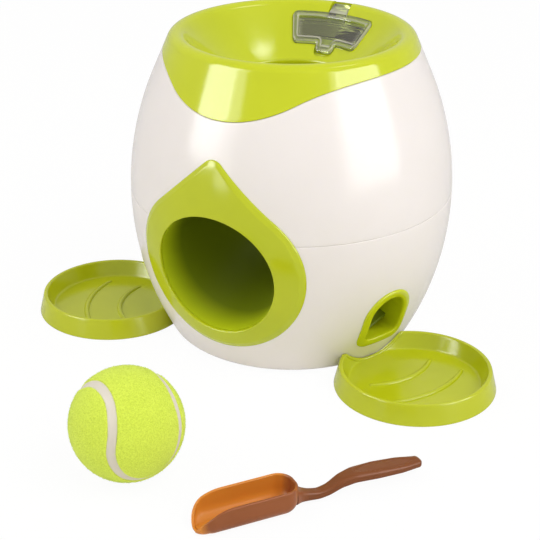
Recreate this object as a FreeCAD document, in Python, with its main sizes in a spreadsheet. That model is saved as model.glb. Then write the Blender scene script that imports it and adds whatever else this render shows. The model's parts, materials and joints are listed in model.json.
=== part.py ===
import FreeCAD, Part
import math
import os

import Sketcher
from FreeCAD import Placement, Rotation, Vector

# A mechanical fetch toy for dogs. A ball dropped in the green funnel falls down a chute, strikes a
# paddle wheel and rolls out of the front. The wheel's two drums drop treats from a hopper behind the
# funnel onto a slide, which sends them to a spout and a round tray on each side.
# +Z is up, -Y is the front, and the origin is the centre of the ring that the housing stands on.

DOC = FreeCAD.newDocument("ball_launcher")
X_AXIS, Y_AXIS, Z_AXIS = Vector(1, 0, 0), Vector(0, 1, 0), Vector(0, 0, 1)
ORIGIN = Vector(0, 0, 0)
REACH = 400.0

# Driving dimensions in millimetres, angles in degrees
SIZES = {
    # Housing
    "belly_radius": 103.2, "belly_height": 95.0, "barrel_arc": 190.0, "collar_start": 171.0,
    "lip_height": 197.8, "lip_round": 6.5, "wall": 2.5, "seam_height": 97.0, "seam_lip_height": 4.0,
    "seam_lip_wall": 1.1, "fit_gap": 0.3, "foot_round": 6.5, "ring_width": 3.5, "ledge_height": 4.0,
    "ledge_thickness": 2.5, "ledge_width": 4.5,
    # Funnel, its wavy collar and its throat
    "wave_low": 166.0, "wave_depth": 22.3, "wave_half_width": 84.0, "joint_gap": 0.25, "skirt_wall": 1.8,
    "skirt_drop": 5.0, "bowl_angle": 44.0, "throat_radius": 36.5, "throat_bottom": 150.0,
    "throat_wall": 2.3,
    # Treat hatch, its opening and its hinge
    "hatch_half_angle": 27.5, "hatch_outer": 63.0, "hatch_inner": 46.5, "hatch_plate": 2.6,
    "hatch_border": 1.6, "hatch_border_height": 1.0, "hatch_sink": 1.0, "hatch_seat_gap": 0.35,
    "recess_gap": 0.45,
    "opening_half_angle": 24.0, "opening_outer": 60.0, "opening_inner": 49.5, "plug_depth": 1.6,
    "plug_wall": 1.4, "plug_gap": 0.7, "tab_half_angle": 7.5, "tab_inner": 42.0, "tab_thickness": 1.2,
    "notch_half_angle": 9.0, "notch_inner": 39.8, "notch_depth": 1.2, "hinge_y": 70.5,
    "hinge_height": 193.2, "pin_radius": 1.25, "pin_gap": 0.06, "pin_half_length": 11.0,
    "knuckle_radius": 3.4, "knuckle_half_width": 6.4, "hinge_side_gap": 0.5, "hinge_notch_radius": 4.4,
    "ear_width": 5.0, "ear_bottom": 185.8, "arm_thickness": 2.6,
    # Ball chute
    "tunnel_radius": 39.3, "tunnel_wall": 2.0, "bend_radius": 50.0, "tunnel_slope": 12.0,
    "exit_height": 71.5, "exit_depth": 97.0, "chute_top": 158.0, "chute_gap": 0.6,
    # Exit frame
    "frame_proud": 2.0, "frame_seat": 0.1, "frame_radius": 56.0, "frame_height": 75.0,
    "frame_tip_height": 144.5, "frame_tip_round": 8.0, "frame_hip_round": 48.5,
    "frame_flank_arc": 120.0, "frame_edge": 1.1, "exit_radius": 39.5,
    # Paddle wheel, treat drums and axle
    "axle_y": 54.0, "axle_height": 97.0, "axle_radius": 2.5, "axle_left": -46.0, "axle_right": 50.0, "paddle_reach": 34.0,
    "paddle_half_width": 11.0, "paddle_thickness": 2.4, "hub_radius": 6.0, "hub_half_length": 15.7,
    "paddle_count": 4.0, "sweep_gap": 1.3, "slot_gap": 1.5, "drum_radius": 18.0, "drum_inner_x": 16.0,
    "drum_width": 22.0, "pocket_count": 4.0, "pocket_radius": 6.5, "pocket_end_wall": 1.5,
    "drum_gap": 0.8, "run_gap": 0.05, "bush_radius": 5.0, "bush_flange_radius": 7.0,
    "bush_flange_width": 1.2, "bush_length": 4.2,
    # Treat hopper
    "hopper_half_width": 43.6, "hopper_front": 42.6, "hopper_back": 70.0, "hopper_top": 169.0,
    "hopper_shoulder": 141.0, "neck_rise": 20.0, "outlet_rise": 11.0, "hopper_wall": 1.8,
    "ridge_height": 161.0, "ridge_shoulder": 134.0, "outlet_front": 44.2, "outlet_back": 63.8,
    "outlet_inner": 15.2, "outlet_outer": 39.4, "cheek_thickness": 2.4, "cheek_drop": 10.0,
    "lug_thickness": 3.0, "lug_half_width": 5.5, "lug_length": 13.5,
    # Posts and screws
    "post_x": 52.0, "post_y": 70.0, "post_radius": 4.5, "post_drop": 9.0, "screw_radius": 1.4,
    "screw_gap": 0.2, "thread_gap": 0.05, "screw_head_radius": 2.8, "screw_head_height": 1.9,
    "hopper_screw_length": 11.0, "joint_boss_radius": 4.6, "joint_boss_inset": 6.69,
    "joint_boss_drop": 22.0, "joint_boss_rise": 15.0, "joint_screw_seat": 6.0,
    "joint_screw_length": 18.0, "joint_side_angle": 100.0, "joint_back_angle": 155.0,
    # Detent cam and leaf spring
    "cam_radius": 8.5, "cam_width": 4.0, "cam_inner_x": 45.2, "spring_thickness": 0.5,
    "spring_width": 4.0, "spring_gap": 0.35, "spring_nose": 1.6, "spring_below": 4.5,
    "spring_above": 16.0, "spring_lug_thickness": 3.0, "spring_lug_height": 8.0,
    "spring_screw_length": 3.0,
    # Treat slide
    "slide_tilt": 22.0, "slide_front": -36.0, "slide_height": 21.5, "slide_thickness": 2.0,
    "slide_gap": 0.5, "guide_height": 11.0, "guide_wall": 1.8, "guide_apex": 34.0,
    "guide_half_angle": 41.0,
    # Treat spouts
    "side_angle": 67.5, "spout_bottom": 15.4, "spout_arch_height": 38.0, "spout_outer": 18.4,
    "spout_corner": 8.0, "spout_inner": 13.0, "spout_sill": 21.3, "spout_inner_corner": 4.0,
    "duct_wall": 1.8, "duct_depth": 79.0, "duct_gap": 0.4, "spout_proud": 1.5, "spout_edge": 0.9,
    # Treat trays
    "tray_distance": 120.7, "tray_foot": 50.0, "tray_rim": 46.9, "tray_height": 13.1,
    "tray_rim_width": 2.2, "tray_floor_radius": 39.3, "tray_floor": 3.0, "tray_thickness": 2.0,
    "tray_gap": 0.5, "rib_round": 1.3, "rib_sink": 0.3, "rib_outer_arc": 64.0, "rib_outer_place": 17.5,
    "rib_outer_span": 30.0, "rib_inner_arc": 43.0, "rib_inner_place": -4.6, "rib_inner_span": 37.0,
    # Base plate and pads
    "base_bottom": 1.6, "base_gap": 0.4, "base_seat": 0.1, "base_screw_inset": 10.95,
    "base_boss_radius": 4.5, "base_boss_top": 16.0, "base_screw_length": 10.0,
    "base_screw_head": 1.2, "pad_radius": 6.0, "pad_inset": 23.95, "pad_seat": 0.6,
    # Tennis ball
    "ball_radius": 32.5, "felt_thickness": 2.6, "core_wall": 3.4, "felt_gap": 0.1, "ball_x": 12.6,
    "ball_y": -213.4,
    # Scoop
    "scoop_width": 21.6, "scoop_wall": 1.6, "scoop_length": 58.5, "scoop_height": 16.0,
    "scoop_lip": 1.7, "scoop_floor_round": 4.5, "scoop_front_round": 5.0, "scoop_heel_round": 8.5,
    "scoop_x": 72.7, "scoop_y": -242.6, "scoop_turn": 54.0, "pad_start": 35.5, "pad_end": 74.5,
    "pad_rim": 1.3, "pad_recess": 0.5,
}

SHEET = DOC.addObject("Spreadsheet::Sheet", "Sizes")
for row, (alias, amount) in enumerate(SIZES.items(), start=1):
    SHEET.set("A%d" % row, alias)
    SHEET.set("B%d" % row, repr(amount))
    SHEET.setAlias("B%d" % row, alias)
DOC.recompute()


class Size:
    """A number with the sheet expression that gives it, so that a sketch can be bound to it."""

    def __init__(self, value, text):
        self.value = value
        self.text = text

    def __add__(self, other):
        other = as_size(other)
        return Size(self.value + other.value, "(%s + %s)" % (self.text, other.text))

    def __sub__(self, other):
        other = as_size(other)
        return Size(self.value - other.value, "(%s - %s)" % (self.text, other.text))

    def __mul__(self, other):
        other = as_size(other)
        return Size(self.value * other.value, "(%s * %s)" % (self.text, other.text))

    def __truediv__(self, other):
        other = as_size(other)
        return Size(self.value / other.value, "(%s / %s)" % (self.text, other.text))

    def __neg__(self):
        return Size(-self.value, "(0 - %s)" % self.text)

    def root(self):
        return Size(math.sqrt(self.value), "sqrt(%s)" % self.text)


def as_size(number):
    return number if isinstance(number, Size) else Size(float(number), repr(float(number)))


class SheetSizes:
    """Gives each alias of the sheet as a Size."""

    def __getattr__(self, alias):
        return Size(float(SHEET.get(alias)), "Sizes." + alias)


class SheetNumbers:
    """Gives each alias of the sheet as a plain number."""

    def __getattr__(self, alias):
        return float(SHEET.get(alias))


S = SheetSizes()
N = SheetNumbers()


# Bodies and sketches

def new_body(label):
    body = DOC.addObject("PartDesign::Body", label)
    body.Label = label
    return body


def new_sketch(body, name, role="XZ_Plane"):
    sketch = body.newObject("Sketcher::SketchObject", name)
    plane = [feature for feature in body.Origin.OriginFeatures if feature.Role == role][0]
    sketch.AttachmentSupport = [(plane, "")]
    sketch.MapMode = "FlatFace"
    return sketch


def pin_down(sketch, edge, end, x, y):
    """Binds one end of an edge to the sheet."""
    for kind, place, axis in (("DistanceX", as_size(x), -2), ("DistanceY", as_size(y), -1)):
        if abs(place.value) < 1e-9:
            sketch.addConstraint(Sketcher.Constraint("PointOnObject", edge, end, axis))
            continue
        index = sketch.addConstraint(Sketcher.Constraint(kind, -1, 1, edge, end, place.value))
        sketch.setExpression("Constraints[%d]" % index, place.text)


def arc_between(start, end, radius, turn):
    """The short arc of a radius from start to end; turn is 1 when it goes counter-clockwise."""
    middle = (start + end) * 0.5
    chord = end - start
    rise = math.sqrt(max(radius ** 2 - (chord.Length / 2) ** 2, 0.0))
    across = Vector(-chord.y, chord.x, 0).normalize()
    centre = middle + across * rise * turn
    circle = Part.Circle(centre, Z_AXIS, radius)
    first, last = (start, end) if turn > 0 else (end, start)
    return Part.ArcOfCircle(circle, circle.parameter(first), circle.parameter(last))


def draw(sketch, corners):
    """Draws a closed outline. A corner is (x, y), or (x, y, radius, turn) when an arc leaves it."""
    points = [Vector(as_size(corner[0]).value, as_size(corner[1]).value, 0) for corner in corners]
    first_edge = sketch.GeometryCount
    ends = []
    for place, corner in enumerate(corners):
        start, end = points[place], points[(place + 1) % len(points)]
        if len(corner) == 4:
            radius = as_size(corner[2])
            edge = sketch.addGeometry(arc_between(start, end, radius.value, corner[3]))
            index = sketch.addConstraint(Sketcher.Constraint("Radius", edge, radius.value))
            sketch.setExpression("Constraints[%d]" % index, radius.text)
            ends.append((1, 2) if corner[3] > 0 else (2, 1))
        else:
            sketch.addGeometry(Part.LineSegment(start, end))
            ends.append((1, 2))
    for place, corner in enumerate(corners):
        edge = first_edge + place
        following = (place + 1) % len(corners)
        sketch.addConstraint(Sketcher.Constraint(
            "Coincident", edge, ends[place][1], first_edge + following, ends[following][0]))
        pin_down(sketch, edge, ends[place][0], corner[0], corner[1])


def draw_circle(sketch, x, y, radius):
    x, y, radius = as_size(x), as_size(y), as_size(radius)
    edge = sketch.addGeometry(Part.Circle(Vector(x.value, y.value, 0), Z_AXIS, radius.value))
    index = sketch.addConstraint(Sketcher.Constraint("Radius", edge, radius.value))
    sketch.setExpression("Constraints[%d]" % index, radius.text)
    pin_down(sketch, edge, 3, x, y)


def revolve(body, sketch):
    feature = body.newObject("PartDesign::Revolution", "Turned")
    feature.Profile = sketch
    feature.ReferenceAxis = (sketch, ["V_Axis"])
    feature.Angle = 360.0
    return feature


def extrude(body, sketch, length, kind="PartDesign::Pad", middle=False, backwards=False):
    feature = body.newObject(kind, kind.split("::")[1])
    feature.Profile = sketch
    length = as_size(length)
    feature.Length = length.value
    feature.setExpression("Length", length.text)
    feature.Midplane = middle
    feature.Reversed = backwards
    return feature


def repeat_round(body, feature, sketch, count):
    """Copies a feature round the sketch's normal."""
    DOC.recompute()
    pattern = body.newObject("PartDesign::PolarPattern", "Round")
    pattern.Originals = [feature]
    pattern.Axis = (sketch, ["N_Axis"])
    pattern.Angle = 360.0
    pattern.Occurrences = int(count.value)
    pattern.setExpression("Occurrences", count.text)
    body.Tip = pattern
    return pattern


def turned(label, corners):
    """A body turned about its own Z axis from an outline of (radius, height) corners."""
    body = new_body(label)
    sketch = new_sketch(body, label + "_outline")
    draw(sketch, corners)
    revolve(body, sketch)
    return body


def place(item, x=0.0, y=0.0, z=0.0, rotation=None):
    """Puts a piece where the sheet says."""
    x, y, z = as_size(x), as_size(y), as_size(z)
    item.Placement = Placement(Vector(x.value, y.value, z.value), rotation or Rotation())
    for axis, amount in (("x", x), ("y", y), ("z", z)):
        item.setExpression("Placement.Base." + axis, amount.text)
    return item


ALONG_X = Rotation(Y_AXIS, 90)


# Solids made with Part's own functions

def feature(label, shape):
    item = DOC.addObject("Part::Feature", label)
    item.Label = label
    item.Shape = shape
    return item


def cut(label, base, *tools):
    """A document cut of base by its tools."""
    for number, tool in enumerate(tools):
        step = DOC.addObject("Part::Cut", "%s_cut_%d" % (label, number))
        step.Base = base
        step.Tool = tool
        base = step
    base.Label = label
    return base


def fuse(label, *pieces):
    joined = DOC.addObject("Part::MultiFuse", label + "_fuse")
    joined.Label = label
    joined.Shapes = list(pieces)
    joined.Refine = True
    return joined


def outline_wire(corners):
    """A closed wire in the XY plane from corners as draw takes them."""
    points = [Vector(corner[0], corner[1], 0) for corner in corners]
    edges = []
    for number, corner in enumerate(corners):
        start, end = points[number], points[(number + 1) % len(points)]
        if len(corner) == 4:
            edges.append(arc_between(start, end, corner[2], corner[3]).toShape())
        else:
            edges.append(Part.LineSegment(start, end).toShape())
    return Part.Wire(edges)


def upright(corners):
    """A face in the XZ plane from (x, z) corners."""
    face = Part.Face(outline_wire(corners))
    face.rotate(ORIGIN, X_AXIS, 90)
    return face


def spun(corners, half_angle=180.0):
    """Turns (radius, height) corners about Z, evenly to both sides of the back (+Y)."""
    face = upright(corners)
    face.rotate(ORIGIN, Z_AXIS, 90 - half_angle)
    return face.revolve(ORIGIN, Z_AXIS, 2 * half_angle)


def box(low, high):
    return Part.makeBox(high[0] - low[0], high[1] - low[1], high[2] - low[2], Vector(*low))


def rod(centre, direction, length, radius):
    return Part.makeCylinder(radius, length, Vector(*centre), direction)


def mirrored(shape):
    return shape.mirror(ORIGIN, X_AXIS)


def both_sides(shape):
    return shape.fuse(mirrored(shape))


# The housing's barrel: one large arc from the floor to the collar, then a straight flank

SLOPE_SINE = (S.collar_start - S.belly_height) / S.barrel_arc
SLOPE_COSINE = (as_size(1) - SLOPE_SINE * SLOPE_SINE).root()


def barrel(height, offset=0.0):
    """The barrel's radius at a height, moved outwards by an offset."""
    height, arc = as_size(height), S.barrel_arc + offset
    rise = height - S.belly_height
    return S.belly_radius - S.barrel_arc + (arc * arc - rise * rise).root()


def flank_start(offset=0.0):
    """Where the barrel's arc turns into the collar's straight flank."""
    arc = S.barrel_arc + offset
    return (S.belly_radius - S.barrel_arc + arc * SLOPE_COSINE, S.belly_height + arc * SLOPE_SINE)


def flank(height, offset=0.0):
    """The flank's radius at a height above the point where it starts."""
    radius, start = flank_start(offset)
    return radius - (as_size(height) - start) * SLOPE_SINE / SLOPE_COSINE


def barrel_solid(offset, low=0.0, high=196.0):
    """The volume inside the barrel, moved outwards by an offset."""
    start = flank_start(offset)
    foot = (barrel(low, offset).value, low, N.barrel_arc + offset, 1)
    if high <= start[1].value:
        return spun([(0.0, low), foot, (barrel(high, offset).value, high), (0.0, high)])
    return spun([(0.0, low), foot, (start[0].value, start[1].value), (flank(high, offset).value, high),
                 (0.0, high)])


LIP_Z = S.lip_height - S.lip_round
LIP_R = flank(LIP_Z, -S.lip_round)
BOWL_SLOPE = math.radians(N.bowl_angle)
BOWL_EDGE = (LIP_R.value - N.lip_round * math.sin(BOWL_SLOPE), LIP_Z.value + N.lip_round * math.cos(BOWL_SLOPE))
AXLE = Vector(0, N.axle_y, N.axle_height)

# Heights that follow the axle
POST_TOP = N.axle_height - N.post_drop
CHEEK_BOTTOM = N.axle_height - N.cheek_drop
HOPPER_NECK = N.axle_height + N.neck_rise
HOPPER_BOTTOM = N.axle_height + N.outlet_rise
SPRING_TOP = N.axle_height + N.spring_above


def bowl_point(radius, rise=0.0):
    """A point of the bowl's cone at a radius, moved off its surface by a rise."""
    height = BOWL_EDGE[1] - (BOWL_EDGE[0] - radius) * math.tan(BOWL_SLOPE)
    return (radius - rise * math.sin(BOWL_SLOPE), height + rise * math.cos(BOWL_SLOPE))


def sector(inner, outer, low, high, half_angle):
    """A slab on the bowl's cone between two radii and two rises, to both sides of the back."""
    corners = [bowl_point(inner, low), bowl_point(outer, low), bowl_point(outer, high), bowl_point(inner, high)]
    return spun(corners, half_angle)


def below_wave(drop=0.0):
    """Everything under the collar's wavy edge: an S-curve in the front view, level at the back."""
    level = N.wave_low + N.wave_depth - drop
    low = level - N.wave_depth
    half = N.wave_half_width
    arc = (half ** 2 + N.wave_depth ** 2) / (4 * N.wave_depth)
    corners = [(-REACH, 0.0), (REACH, 0.0), (REACH, level), (half, level, arc, 1),
               (half / 2, (level + low) / 2, arc, -1), (-half / 2, (level + low) / 2, arc, 1),
               (-half, level), (-REACH, level)]
    front = upright(corners).extrude(Vector(0, -REACH, 0))
    return front.fuse(box((-REACH, 0, 0), (REACH, REACH, level)))


# Housing

def standing_radius():
    """Where the flat standing ring meets the rounded foot."""
    reach = S.barrel_arc - S.foot_round
    drop = S.belly_height - S.foot_round
    return S.belly_radius - S.barrel_arc + (reach * reach - drop * drop).root()


def foot_tangent():
    """Where the rounded foot meets the barrel's arc."""
    centre_r = S.belly_radius - S.barrel_arc
    scale = S.barrel_arc / (S.barrel_arc - S.foot_round)
    return (centre_r + (standing_radius() - centre_r) * scale,
            S.belly_height - (S.belly_height - S.foot_round) * scale)


def lower_shell_turning():
    stand, tangent = standing_radius(), foot_tangent()
    inside = -S.wall
    ledge_top = S.ledge_height + S.ledge_thickness
    tongue = S.seam_lip_wall - S.wall
    tongue_top = S.seam_height + S.seam_lip_height
    return turned("lower_shell_turning", [
        (stand - S.ring_width, 0.0), (stand, 0.0, S.foot_round, 1),
        (tangent[0], tangent[1], S.barrel_arc, 1), (barrel(S.seam_height), S.seam_height),
        (barrel(S.seam_height, tongue), S.seam_height), (barrel(S.seam_height, tongue), tongue_top),
        (barrel(S.seam_height, inside), tongue_top),
        (barrel(S.seam_height, inside), S.seam_height, S.barrel_arc - S.wall, -1),
        (barrel(ledge_top, inside), ledge_top), (stand - S.ring_width - S.ledge_width, ledge_top),
        (stand - S.ring_width - S.ledge_width, S.ledge_height), (stand - S.ring_width, S.ledge_height)])


def upper_shell_turning():
    inside = -S.wall
    groove = S.seam_lip_wall - S.wall + S.fit_gap
    groove_top = S.seam_height + S.seam_lip_height + S.fit_gap
    top = S.lip_height - S.lip_round
    outer, inner = flank_start(), flank_start(inside)
    return turned("upper_shell_turning", [
        (barrel(S.seam_height, groove), S.seam_height),
        (barrel(S.seam_height), S.seam_height, S.barrel_arc, 1), (outer[0], outer[1]),
        (flank(top), top), (flank(top, inside), top), (inner[0], inner[1], S.barrel_arc - S.wall, -1),
        (barrel(groove_top, inside), groove_top), (barrel(S.seam_height, groove), groove_top)])


def around(circle, angle):
    """A place on a circle, with the angle taken from the front towards +X."""
    turn = math.radians(angle)
    return circle * math.sin(turn), -circle * math.cos(turn)


def joint_places():
    angles = [N.joint_side_angle, -N.joint_side_angle, N.joint_back_angle, -N.joint_back_angle]
    circle = (barrel(S.seam_height) - S.joint_boss_inset).value
    return [around(circle, angle) for angle in angles]


def base_screw_circle():
    return standing_radius() - S.base_screw_inset


def pad_circle():
    return standing_radius() - S.pad_inset


def base_screw_places():
    return [around(base_screw_circle().value, angle) for angle in (45, 135, 225, 315)]


def post_places():
    return [(N.post_x, N.post_y), (-N.post_x, N.post_y)]


def joined(shapes):
    shapes = list(shapes)
    return shapes[0].multiFuse(shapes[1:])


def upright_rod(spot, low, high, radius):
    return rod((spot[0], spot[1], low), Z_AXIS, high - low, radius)


def chute_hole(gap):
    """The slanting tunnel's outside as a long rod, with a gap round it."""
    slope = math.radians(N.tunnel_slope)
    ahead = Vector(0, -math.cos(slope), -math.sin(slope))
    start = Vector(0, -N.exit_depth, N.exit_height) - ahead * 25
    return Part.makeCylinder(N.tunnel_radius + N.tunnel_wall + gap, 80, start, ahead)


def arch_wire(half_width, bottom, corner):
    """The spout's outline: a flat sill with round corners under a half-round arch."""
    top = N.spout_arch_height
    return [(-half_width + corner, bottom), (half_width - corner, bottom, corner, 1),
            (half_width, bottom + corner), (half_width, top, half_width, 1), (0.0, top + half_width, half_width, 1),
            (-half_width, top), (-half_width, bottom + corner, corner, 1)]


def side_prism(half_width, bottom, corner, near=60.0, far=120.0):
    """The arch pushed outwards along the right-hand spout's direction."""
    face = upright(arch_wire(half_width, bottom, corner))
    face.translate(Vector(0, -near, 0))
    solid = face.extrude(Vector(0, near - far, 0))
    solid.rotate(ORIGIN, Z_AXIS, N.side_angle)
    return solid


def duct_outside(gap=0.0):
    return side_prism(N.spout_inner + N.duct_wall + gap, N.spout_sill - N.duct_wall - gap,
                      N.spout_inner_corner + N.duct_wall, N.duct_depth - gap)


def lower_shell():
    inside = barrel_solid(-N.wall / 2, low=3.0)
    seam = N.seam_height
    bosses = [upright_rod(spot, seam - N.joint_boss_drop, seam, N.joint_boss_radius) for spot in joint_places()]
    bosses += [upright_rod(spot, N.ledge_height, POST_TOP, N.post_radius) for spot in post_places()]
    bosses += [upright_rod(spot, N.ledge_height, N.base_boss_top, N.base_boss_radius)
               for spot in base_screw_places()]
    bosses = joined(bosses).common(inside)
    clear = N.screw_radius + N.screw_gap
    thread = N.screw_radius + N.thread_gap
    seat = seam - N.joint_screw_seat
    holes = [upright_rod(spot, 0, seam + 1, clear) for spot in joint_places()]
    holes += [upright_rod(spot, 0, seat, N.screw_head_radius + N.screw_gap) for spot in joint_places()]
    holes = [hole.common(box((-REACH, -REACH, seam - N.joint_boss_drop - 1), (REACH, REACH, REACH))) for hole in holes]
    holes += [upright_rod(spot, POST_TOP - N.hopper_screw_length, POST_TOP + 1, thread)
              for spot in post_places()]
    holes += [upright_rod(spot, 0, N.base_bottom + N.base_screw_length + 1, thread)
              for spot in base_screw_places()]
    openings = joined(holes + [chute_hole(N.chute_gap), both_sides(duct_outside(N.duct_gap))])
    blank = fuse("lower_shell_blank", lower_shell_turning(), feature("lower_shell_bosses", bosses))
    return cut("lower_shell", blank, feature("lower_shell_openings", openings))


def upper_shell():
    seam = N.seam_height
    tongue_room = barrel_solid(0.0, seam - 1, seam + N.seam_lip_height + N.fit_gap)
    tongue_room = tongue_room.cut(barrel_solid(-N.wall - N.fit_gap, seam - 2, REACH / 2))
    bosses = joined([upright_rod(spot, seam, seam + N.joint_boss_rise, N.joint_boss_radius)
                     for spot in joint_places()]).common(barrel_solid(-N.wall / 2)).cut(tongue_room)
    above = box((-REACH, -REACH, seam), (REACH, REACH, REACH)).cut(below_wave(N.joint_gap))
    holes = [upright_rod(spot, seam - 1, seam + N.joint_screw_length - N.joint_screw_seat + 1,
                         N.screw_radius + N.thread_gap) for spot in joint_places()]
    blank = fuse("upper_shell_blank", upper_shell_turning(), feature("upper_shell_bosses", bosses))
    openings = joined(holes + [chute_hole(N.chute_gap)])
    return cut("upper_shell", blank, feature("above_the_wave", above), feature("upper_shell_openings", openings))


# Funnel with its wavy collar, hatch opening and hinge notch

def shell_room():
    """The space under the wave that the upper shell's wall and its gap take."""
    return below_wave(0.0).cut(barrel_solid(-N.wall - N.fit_gap, 140.0, LIP_Z.value + 1))


def collar():
    """The visible band over the wave and the thinner skirt that hangs inside the upper shell."""
    inner = -N.wall - N.skirt_wall
    high = N.lip_height - N.lip_round
    band = barrel_solid(0.0, 150.0, high).cut(barrel_solid(inner, 149.0, high + 1))
    band = band.cut(below_wave(N.skirt_drop))
    return band.cut(shell_room())


def bowl():
    """The lip, the cone and the throat as one turned wall."""
    lip_r, lip_z, lip = LIP_R.value, LIP_Z.value, N.lip_round
    outer = (flank(LIP_Z + S.lip_round * SLOPE_SINE).value, (LIP_Z + S.lip_round * SLOPE_SINE).value)
    collar_inner = flank(LIP_Z, -S.wall - S.skirt_wall).value
    throat = bowl_point(N.throat_radius)
    outside = N.throat_radius + N.throat_wall
    under = bowl_point(outside - N.wall * math.sin(BOWL_SLOPE), -N.wall)
    lip_under = bowl_point(BOWL_EDGE[0], -N.wall)
    top = (lip_r, N.lip_height)
    corners = [(N.throat_radius, N.throat_bottom), (outside, N.throat_bottom), under, lip_under,
               (collar_inner, lip_z), (flank(LIP_Z).value, lip_z), outer + (lip, 1), top + (lip, 1),
               BOWL_EDGE, throat]
    return spun(corners)


def hinge_ears():
    """Solid plastic inside the lip on both sides of the hinge notch and below it."""
    half = N.knuckle_half_width + N.hinge_side_gap + N.ear_width
    block = box((-half, 62.0, N.ear_bottom), (half, 80.0, N.lip_height))
    solid = barrel_solid(-N.wall / 2, 150.0, LIP_Z.value)
    lip = spun([(0.0, LIP_Z.value), (flank(LIP_Z).value - 1, LIP_Z.value, N.lip_round - 1, 1),
                (LIP_R.value, N.lip_height - 1.5), (0.0, N.lip_height - 1.5)])
    rim = BOWL_EDGE[0] + 1.0
    over_cone = spun([bowl_point(N.throat_radius), bowl_point(rim), (rim, REACH), (N.throat_radius, REACH)])
    return block.common(solid.fuse(lip)).cut(over_cone).cut(shell_room())


def hinge_notch():
    half = N.knuckle_half_width + N.hinge_side_gap
    y, z, radius = N.hinge_y, N.hinge_height, N.hinge_notch_radius
    barrel_part = rod((-half, y, z), X_AXIS, 2 * half, radius)
    above = box((-half, y - radius - 6.5, z), (half, y + radius, z + 20))
    slope = [bowl_point(58.0, -N.hatch_sink), bowl_point(58.0, 12.0), (y, z + 12.0), (y, z - radius)]
    ramp = Part.Face(outline_wire(slope))
    ramp.Placement = Placement(Vector(-half, 0, 0), Rotation(Vector(1, 1, 1), 120))
    return barrel_part.fuse(above).fuse(ramp.extrude(Vector(2 * half, 0, 0)))


def funnel_top():
    gap = N.recess_gap
    angle_gap = math.degrees(gap / N.hatch_outer)
    recess = sector(N.hatch_inner - gap, N.hatch_outer + gap, -N.hatch_sink - N.hatch_seat_gap, 30.0,
                    N.hatch_half_angle + angle_gap)
    opening = sector(N.opening_inner, N.opening_outer, -20.0, 5.0, N.opening_half_angle)
    notch = sector(N.notch_inner, N.hatch_inner, -N.notch_depth, 20.0, N.notch_half_angle)
    pin_hole = rod((-N.pin_half_length - N.fit_gap, N.hinge_y, N.hinge_height), X_AXIS,
                   3 * N.pin_half_length, N.pin_radius + N.pin_gap)
    solid = collar().fuse(bowl()).fuse(hinge_ears())
    for tool in (recess, opening, notch, hinge_notch(), pin_hole):
        solid = solid.cut(tool)
    return feature("funnel_top", solid.removeSplitter())


# Clear hatch and its hinge pin

def hatch_door():
    top = N.hatch_plate - N.hatch_sink
    half = N.hatch_half_angle
    rim = math.degrees(N.hatch_border / N.hatch_outer)
    plate = sector(N.hatch_inner, N.hatch_outer, -N.hatch_sink, top, half)
    dish = sector(N.hatch_inner + N.hatch_border, N.hatch_outer - N.hatch_border,
                  top - N.hatch_border_height, top + 5, half - rim)
    gap, gap_angle = N.plug_gap, math.degrees(N.plug_gap / N.opening_inner)
    wall_angle = math.degrees(N.plug_wall / N.opening_inner)
    plug_half = N.opening_half_angle - gap_angle
    plug = sector(N.opening_inner + gap, N.opening_outer - gap, -N.hatch_sink - N.plug_depth, -N.hatch_sink,
                  plug_half)
    hollow = sector(N.opening_inner + gap + N.plug_wall, N.opening_outer - gap - N.plug_wall,
                    -N.hatch_sink - N.plug_depth - 1, -N.hatch_sink, plug_half - wall_angle)
    tab = sector(N.tab_inner, N.hatch_inner + N.hatch_border, top - N.tab_thickness, top, N.tab_half_angle)
    arm_low = bowl_point(N.hatch_outer - N.hatch_border, -N.hatch_sink)
    arm_high = bowl_point(N.hatch_outer - N.hatch_border, top)
    y, z, width = N.hinge_y, N.hinge_height, N.knuckle_half_width
    side = Part.Face(outline_wire([arm_low, (y, z - N.arm_thickness / 2), (y, z + N.arm_thickness / 2), arm_high]))
    side.Placement = Placement(Vector(-width, 0, 0), Rotation(Vector(1, 1, 1), 120))
    arm = side.extrude(Vector(2 * width, 0, 0))
    knuckle = rod((-width, y, z), X_AXIS, 2 * width, N.knuckle_radius)
    solid = plate.cut(dish).fuse(plug.cut(hollow)).fuse(tab).fuse(arm).fuse(knuckle)
    solid = solid.cut(rod((-width - 1, y, z), X_AXIS, 2 * width + 2, N.pin_radius + N.pin_gap))
    return feature("hatch_door", solid.removeSplitter())


def hatch_pin():
    body = turned("hatch_pin", [(0.0, -S.pin_half_length), (S.pin_radius, -S.pin_half_length),
                                (S.pin_radius, S.pin_half_length), (0.0, S.pin_half_length)])
    return place(body, 0.0, S.hinge_y, S.hinge_height, ALONG_X)


# Ball chute: a straight drop, one bend and a slanting tunnel

def chute_rod(radius, top, front):
    bend, slope = N.bend_radius, math.radians(N.tunnel_slope)
    turn = 90 - N.tunnel_slope
    run = N.exit_depth - bend * (1 - math.sin(slope))
    bend_z = N.exit_height + run * math.tan(slope) + bend * math.cos(slope)
    centre = Vector(0, -bend, bend_z)
    drop = Part.makeCylinder(radius, top - bend_z, Vector(0, 0, bend_z))
    circle = Part.Face(Part.Wire(Part.makeCircle(radius, Vector(0, 0, bend_z), Z_AXIS)))
    elbow = circle.revolve(centre, X_AXIS, -turn)
    end = centre + Vector(0, bend * math.sin(slope), -bend * math.cos(slope))
    ahead = Vector(0, -math.cos(slope), -math.sin(slope))
    tunnel = Part.makeCylinder(radius, front, end, ahead)
    return drop.fuse(elbow).fuse(tunnel)


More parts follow.
